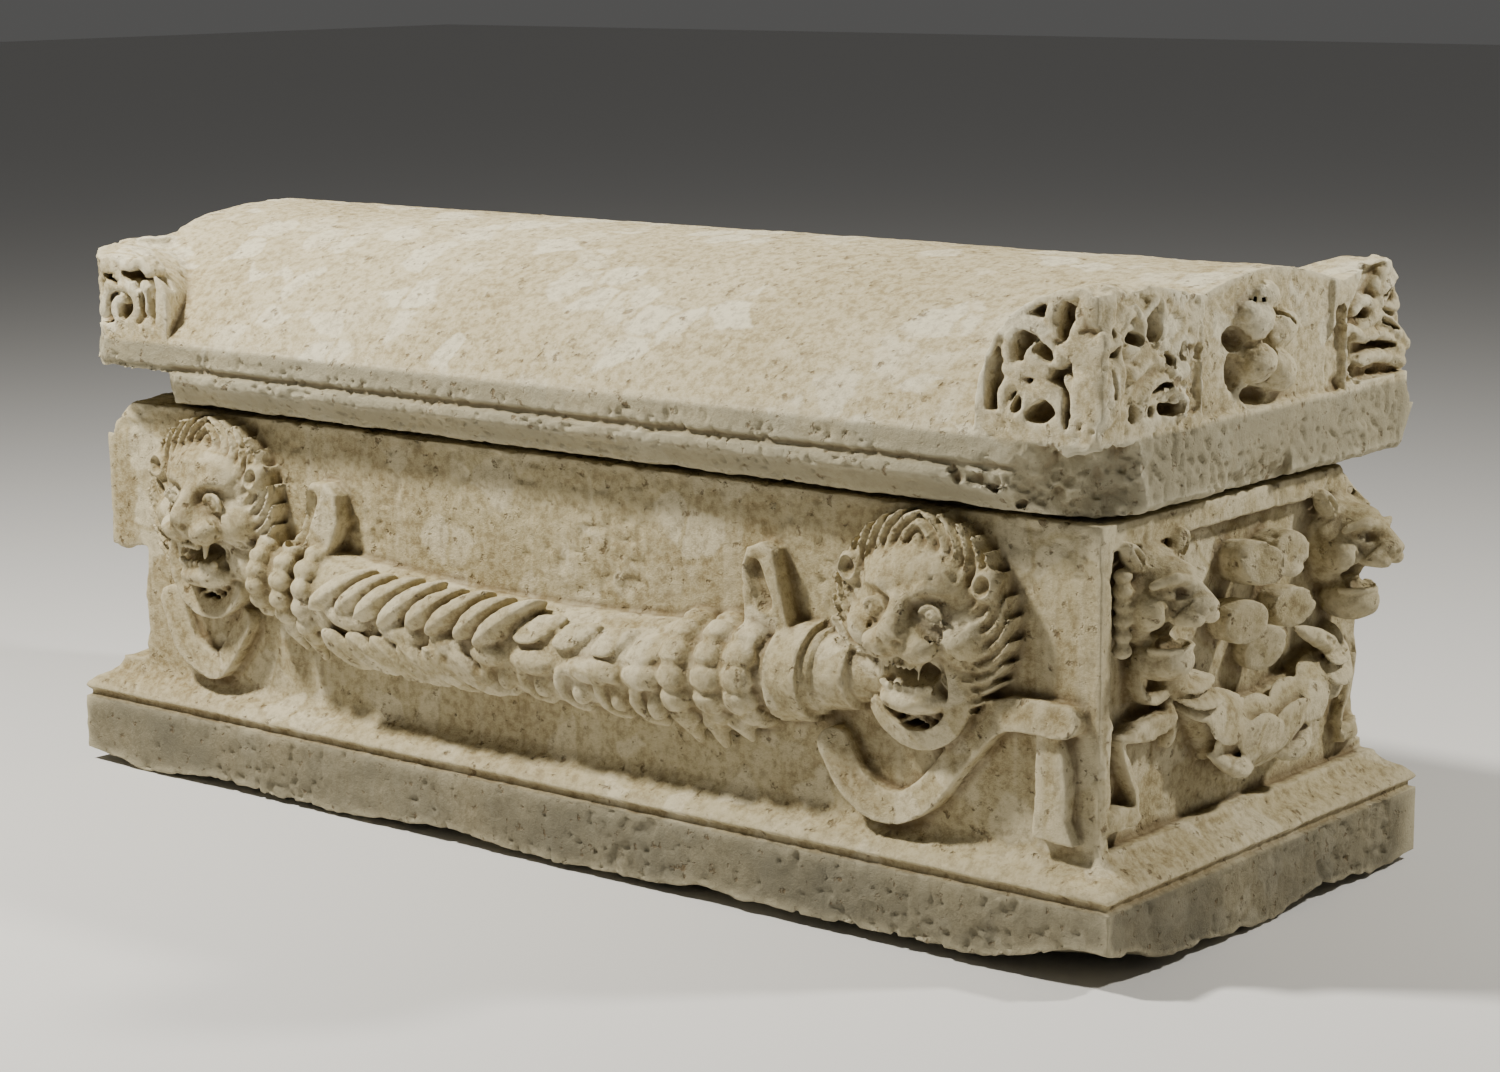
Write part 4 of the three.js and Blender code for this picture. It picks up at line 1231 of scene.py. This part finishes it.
def lid_surface(x, y, z):
    """The lid's wear: pitted along its edges and horns, and smoother on the vault."""
    hidden = (z < LID_BOTTOM + 2) | (y > LID_Y - 60)
    edge = np.clip((EAVES - 8 - z) / 12, 0, 1)
    horns = np.clip((abs(x) - 800) / 20, 0, 1) * np.clip((-y - 150) / 30, 0, 1)
    end = np.clip((x - 985) / 10, 0, 1)
    harsh = np.clip(edge + 0.6 * horns + 0.5 * end, 0, 1)
    pits = pitted(x, y, z, 9, 0.6, 4.0) * (0.12 + 0.88 * harsh)
    tooled = harsh * (1.3 * grain(x, y, z, 12, 9.3) + 1.0 * grain(x, y, z, 36, 5.9))
    return np.where(hidden, -0.5, weathered(x, y, z) + pits + tooled)


def limestone(name, white, pale, tan, painted_shade_grey, brown, painted_shade_top, streaks):
    """Breccia-like limestone: pale clasts in a tan ground, pitted, darker in its hollows with
    patina and painted shade, and grey with painted shade below a given height.
    """
    material = bpy.data.materials.new(name)
    material.use_nodes = True
    material.node_tree.nodes.clear()
    nodes = Nodes(material.node_tree)
    place = nodes.node("ShaderNodeTexCoord", {}, {}, "Object")

    def noise(scale, detail=4.0, harsh=0.55, stretch=None, output="Fac"):
        spot = place if stretch is None else nodes.node(
            "ShaderNodeMapping", {}, {"Vector": place, "Scale": stretch})
        return nodes.node("ShaderNodeTexNoise", {"noise_dimensions": "3D"},
                          {"Vector": spot, "Scale": scale, "Detail": detail,
                           "Roughness": harsh}, output)

    def mixed(factor, first, second):
        return nodes.node("ShaderNodeMix", {"data_type": "RGBA", "blend_type": "MIX"},
                          {0: factor, 6: first, 7: second}, 2)

    def ramp(value, low, high):
        return ((value - low) * (1 / (high - low))).clamped()

    bent = nodes.vector("ADD", place, nodes.node(
        "ShaderNodeVectorMath", {"operation": "SCALE"},
        {0: noise(14, 3, output="Color"), "Scale": 0.05}))
    clast = nodes.node("ShaderNodeTexVoronoi", {"feature": "F1"},
                       {"Vector": bent, "Scale": 15, "Randomness": 1.0}, "Color")
    split = nodes.node("ShaderNodeTexVoronoi", {"feature": "DISTANCE_TO_EDGE"},
                       {"Vector": bent, "Scale": 15, "Randomness": 1.0}, "Distance")
    shade = nodes.node("ShaderNodeSeparateColor", {}, {0: clast})
    drift = noise(3.5, 4)
    grains = noise(70, 6, 0.75)
    fine = noise(260, 4, 0.7)
    speck = ramp(noise(55, 3, 0.6), 0.62, 0.72)
    colour = mixed(ramp(drift, 0.36, 0.64), tan, pale)
    pebble = ramp(shade + (drift - 0.5) * 1.2, 0.62, 0.82) * ramp(split, 0.02, 0.1)
    colour = mixed(pebble * 0.75, colour, white)
    colour = mixed(ramp(noise(7, 5, 0.65), 0.5, 0.75) * 0.55, colour, tan)
    colour = mixed(ramp(grains, 0.42, 0.72) * 0.55, colour, white)
    colour = mixed(ramp(0.62 - grains, 0.1, 0.3) * 0.5, colour, brown)
    if streaks:
        run = ramp(noise(9, 3, 0.6, (3.0, 3.0, 0.16)), 0.52, 0.7)
        colour = mixed(run * 0.45, colour, white)
    # Painted shade: below the height given, the colour is mixed towards a dark grey, for the
    # shadow on the stone's lower faces.
    height = nodes.node("ShaderNodeSeparateXYZ", {}, {0: place}, 2)
    foot = ramp(painted_shade_top - height, 0.0, 0.006)
    colour = mixed(foot * (ramp(noise(5, 5), 0.3, 0.6) * 0.3 + 0.6), colour, painted_shade_grey)
    # The hollows turn brown: partly the patina gathered there, partly painted shade for the shadow
    # in recesses. The worn ridges turn paler.
    hollow = nodes.node("ShaderNodeAttribute", {"attribute_name": "hollow"}, {}, "Fac")
    colour = mixed(ramp(hollow, 0.54, 0.74) * 0.8, colour, brown)
    colour = mixed(ramp(0.47 - hollow, 0.0, 0.2) * 0.5, colour, white)
    colour = mixed(speck * 0.7, colour, brown)
    relief = grains * 0.6 + fine * 0.25 - speck * 0.5
    bump = nodes.node("ShaderNodeBump", {}, {"Strength": 0.85, "Distance": 0.006,
                                             "Height": relief})
    shader = nodes.node("ShaderNodeBsdfPrincipled", {},
                        {"Base Color": colour, "Roughness": grains * 0.25 + 0.7,
                         "Normal": bump, "Specular IOR Level": 0.2})
    nodes.node("ShaderNodeOutputMaterial", {}, {"Surface": shader})
    return material


# The fourth colour of each is the dark grey painted as shade below the height given last: the
# plinth's face on the chest, the upright edge on the lid.
CREAM = limestone("chest limestone", (0.66, 0.59, 0.40, 1), (0.46, 0.39, 0.22, 1),
                  (0.33, 0.26, 0.13, 1), (0.13, 0.12, 0.085, 1), (0.12, 0.075, 0.03, 1),
                  ARRIS * MM, True)
PALE = limestone("lid limestone", (0.78, 0.72, 0.53, 1), (0.60, 0.52, 0.32, 1),
                 (0.45, 0.37, 0.20, 1), (0.30, 0.27, 0.18, 1), (0.16, 0.105, 0.045, 1),
                 EAVES * MM, False)

for name, block, surface, material in (("chest_stone", carved_chest(), chest_surface, CREAM),
                                       ("lid_stone", carved_lid(), lid_surface, PALE)):
    piece = thinned(mesh_of(block, name, surface), TRIANGLES)
    piece.data.materials.append(material)
    node = node_of(name)
    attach(piece, "root")
    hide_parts(node)
    node + "_limestone"

for form in FORMS.values():
    bpy.data.objects.remove(form)


# ---- floor, light and camera ----


def floor():
    mesh = bpy.data.meshes.new("floor")
    mesh.from_pydata([(-30, -30, 0), (30, -30, 0), (30, 30, 0), (-30, 30, 0)], [], [(0, 1, 2, 3)])
    piece = bpy.data.objects.new("floor", mesh)
    bpy.context.scene.collection.objects.link(piece)
    material = bpy.data.materials.new("floor")
    material.use_nodes = True
    shader = material.node_tree.nodes["Principled BSDF"]
    shader.inputs["Base Color"].default_value = (0.72, 0.71, 0.69, 1)
    shader.inputs["Roughness"].default_value = 0.7
    mesh.materials.append(material)


def area_light(name, place, target, size, power, colour=(1, 1, 1)):
    lamp = bpy.data.lights.new(name, "AREA")
    lamp.shape = "DISK"
    lamp.size = size
    lamp.energy = power
    lamp.color = colour
    piece = bpy.data.objects.new(name, lamp)
    bpy.context.scene.collection.objects.link(piece)
    way = (Vector(target) - Vector(place)).to_track_quat("-Z", "Y")
    piece.matrix_world = Matrix.Translation(place) @ way.to_matrix().to_4x4()


def camera():
    lens = bpy.data.cameras.new("camera")
    lens.sensor_width = 36
    lens.lens = 78.8
    lens.clip_end = 100
    turn, dip, lean = math.radians(39.35), math.radians(10.565), math.radians(-0.38)
    ahead = Vector((-math.sin(turn) * math.cos(dip), math.cos(turn) * math.cos(dip),
                    -math.sin(dip)))
    right = Vector((math.cos(turn), math.sin(turn), 0))
    up = right.cross(ahead)
    right, up = (right * math.cos(lean) + up * math.sin(lean),
                 up * math.cos(lean) - right * math.sin(lean))
    turned = Matrix([(*row, 0) for row in zip(right, up, -ahead)] + [(0, 0, 0, 1)])
    piece = bpy.data.objects.new("camera", lens)
    bpy.context.scene.collection.objects.link(piece)
    piece.matrix_world = Matrix.Translation((3.2652, -3.8774, 1.3817)) @ turned
    bpy.context.scene.camera = piece


floor()
area_light("key", (-1.7, -2.0, 3.9), (-0.05, -0.3, 0.35), 0.5, 330, (1, 0.97, 0.9))
area_light("end", (3.3, 1.9, 3.4), (0.9, 0, 0.5), 0.4, 170, (1, 0.97, 0.9))
world = bpy.data.worlds.new("studio")
world.use_nodes = True
world.node_tree.nodes["Background"].inputs[0].default_value = (1, 0.99, 0.97, 1)
world.node_tree.nodes["Background"].inputs[1].default_value = 0.09
bpy.context.scene.world = world
camera()

bpy.context.view_layer.update()
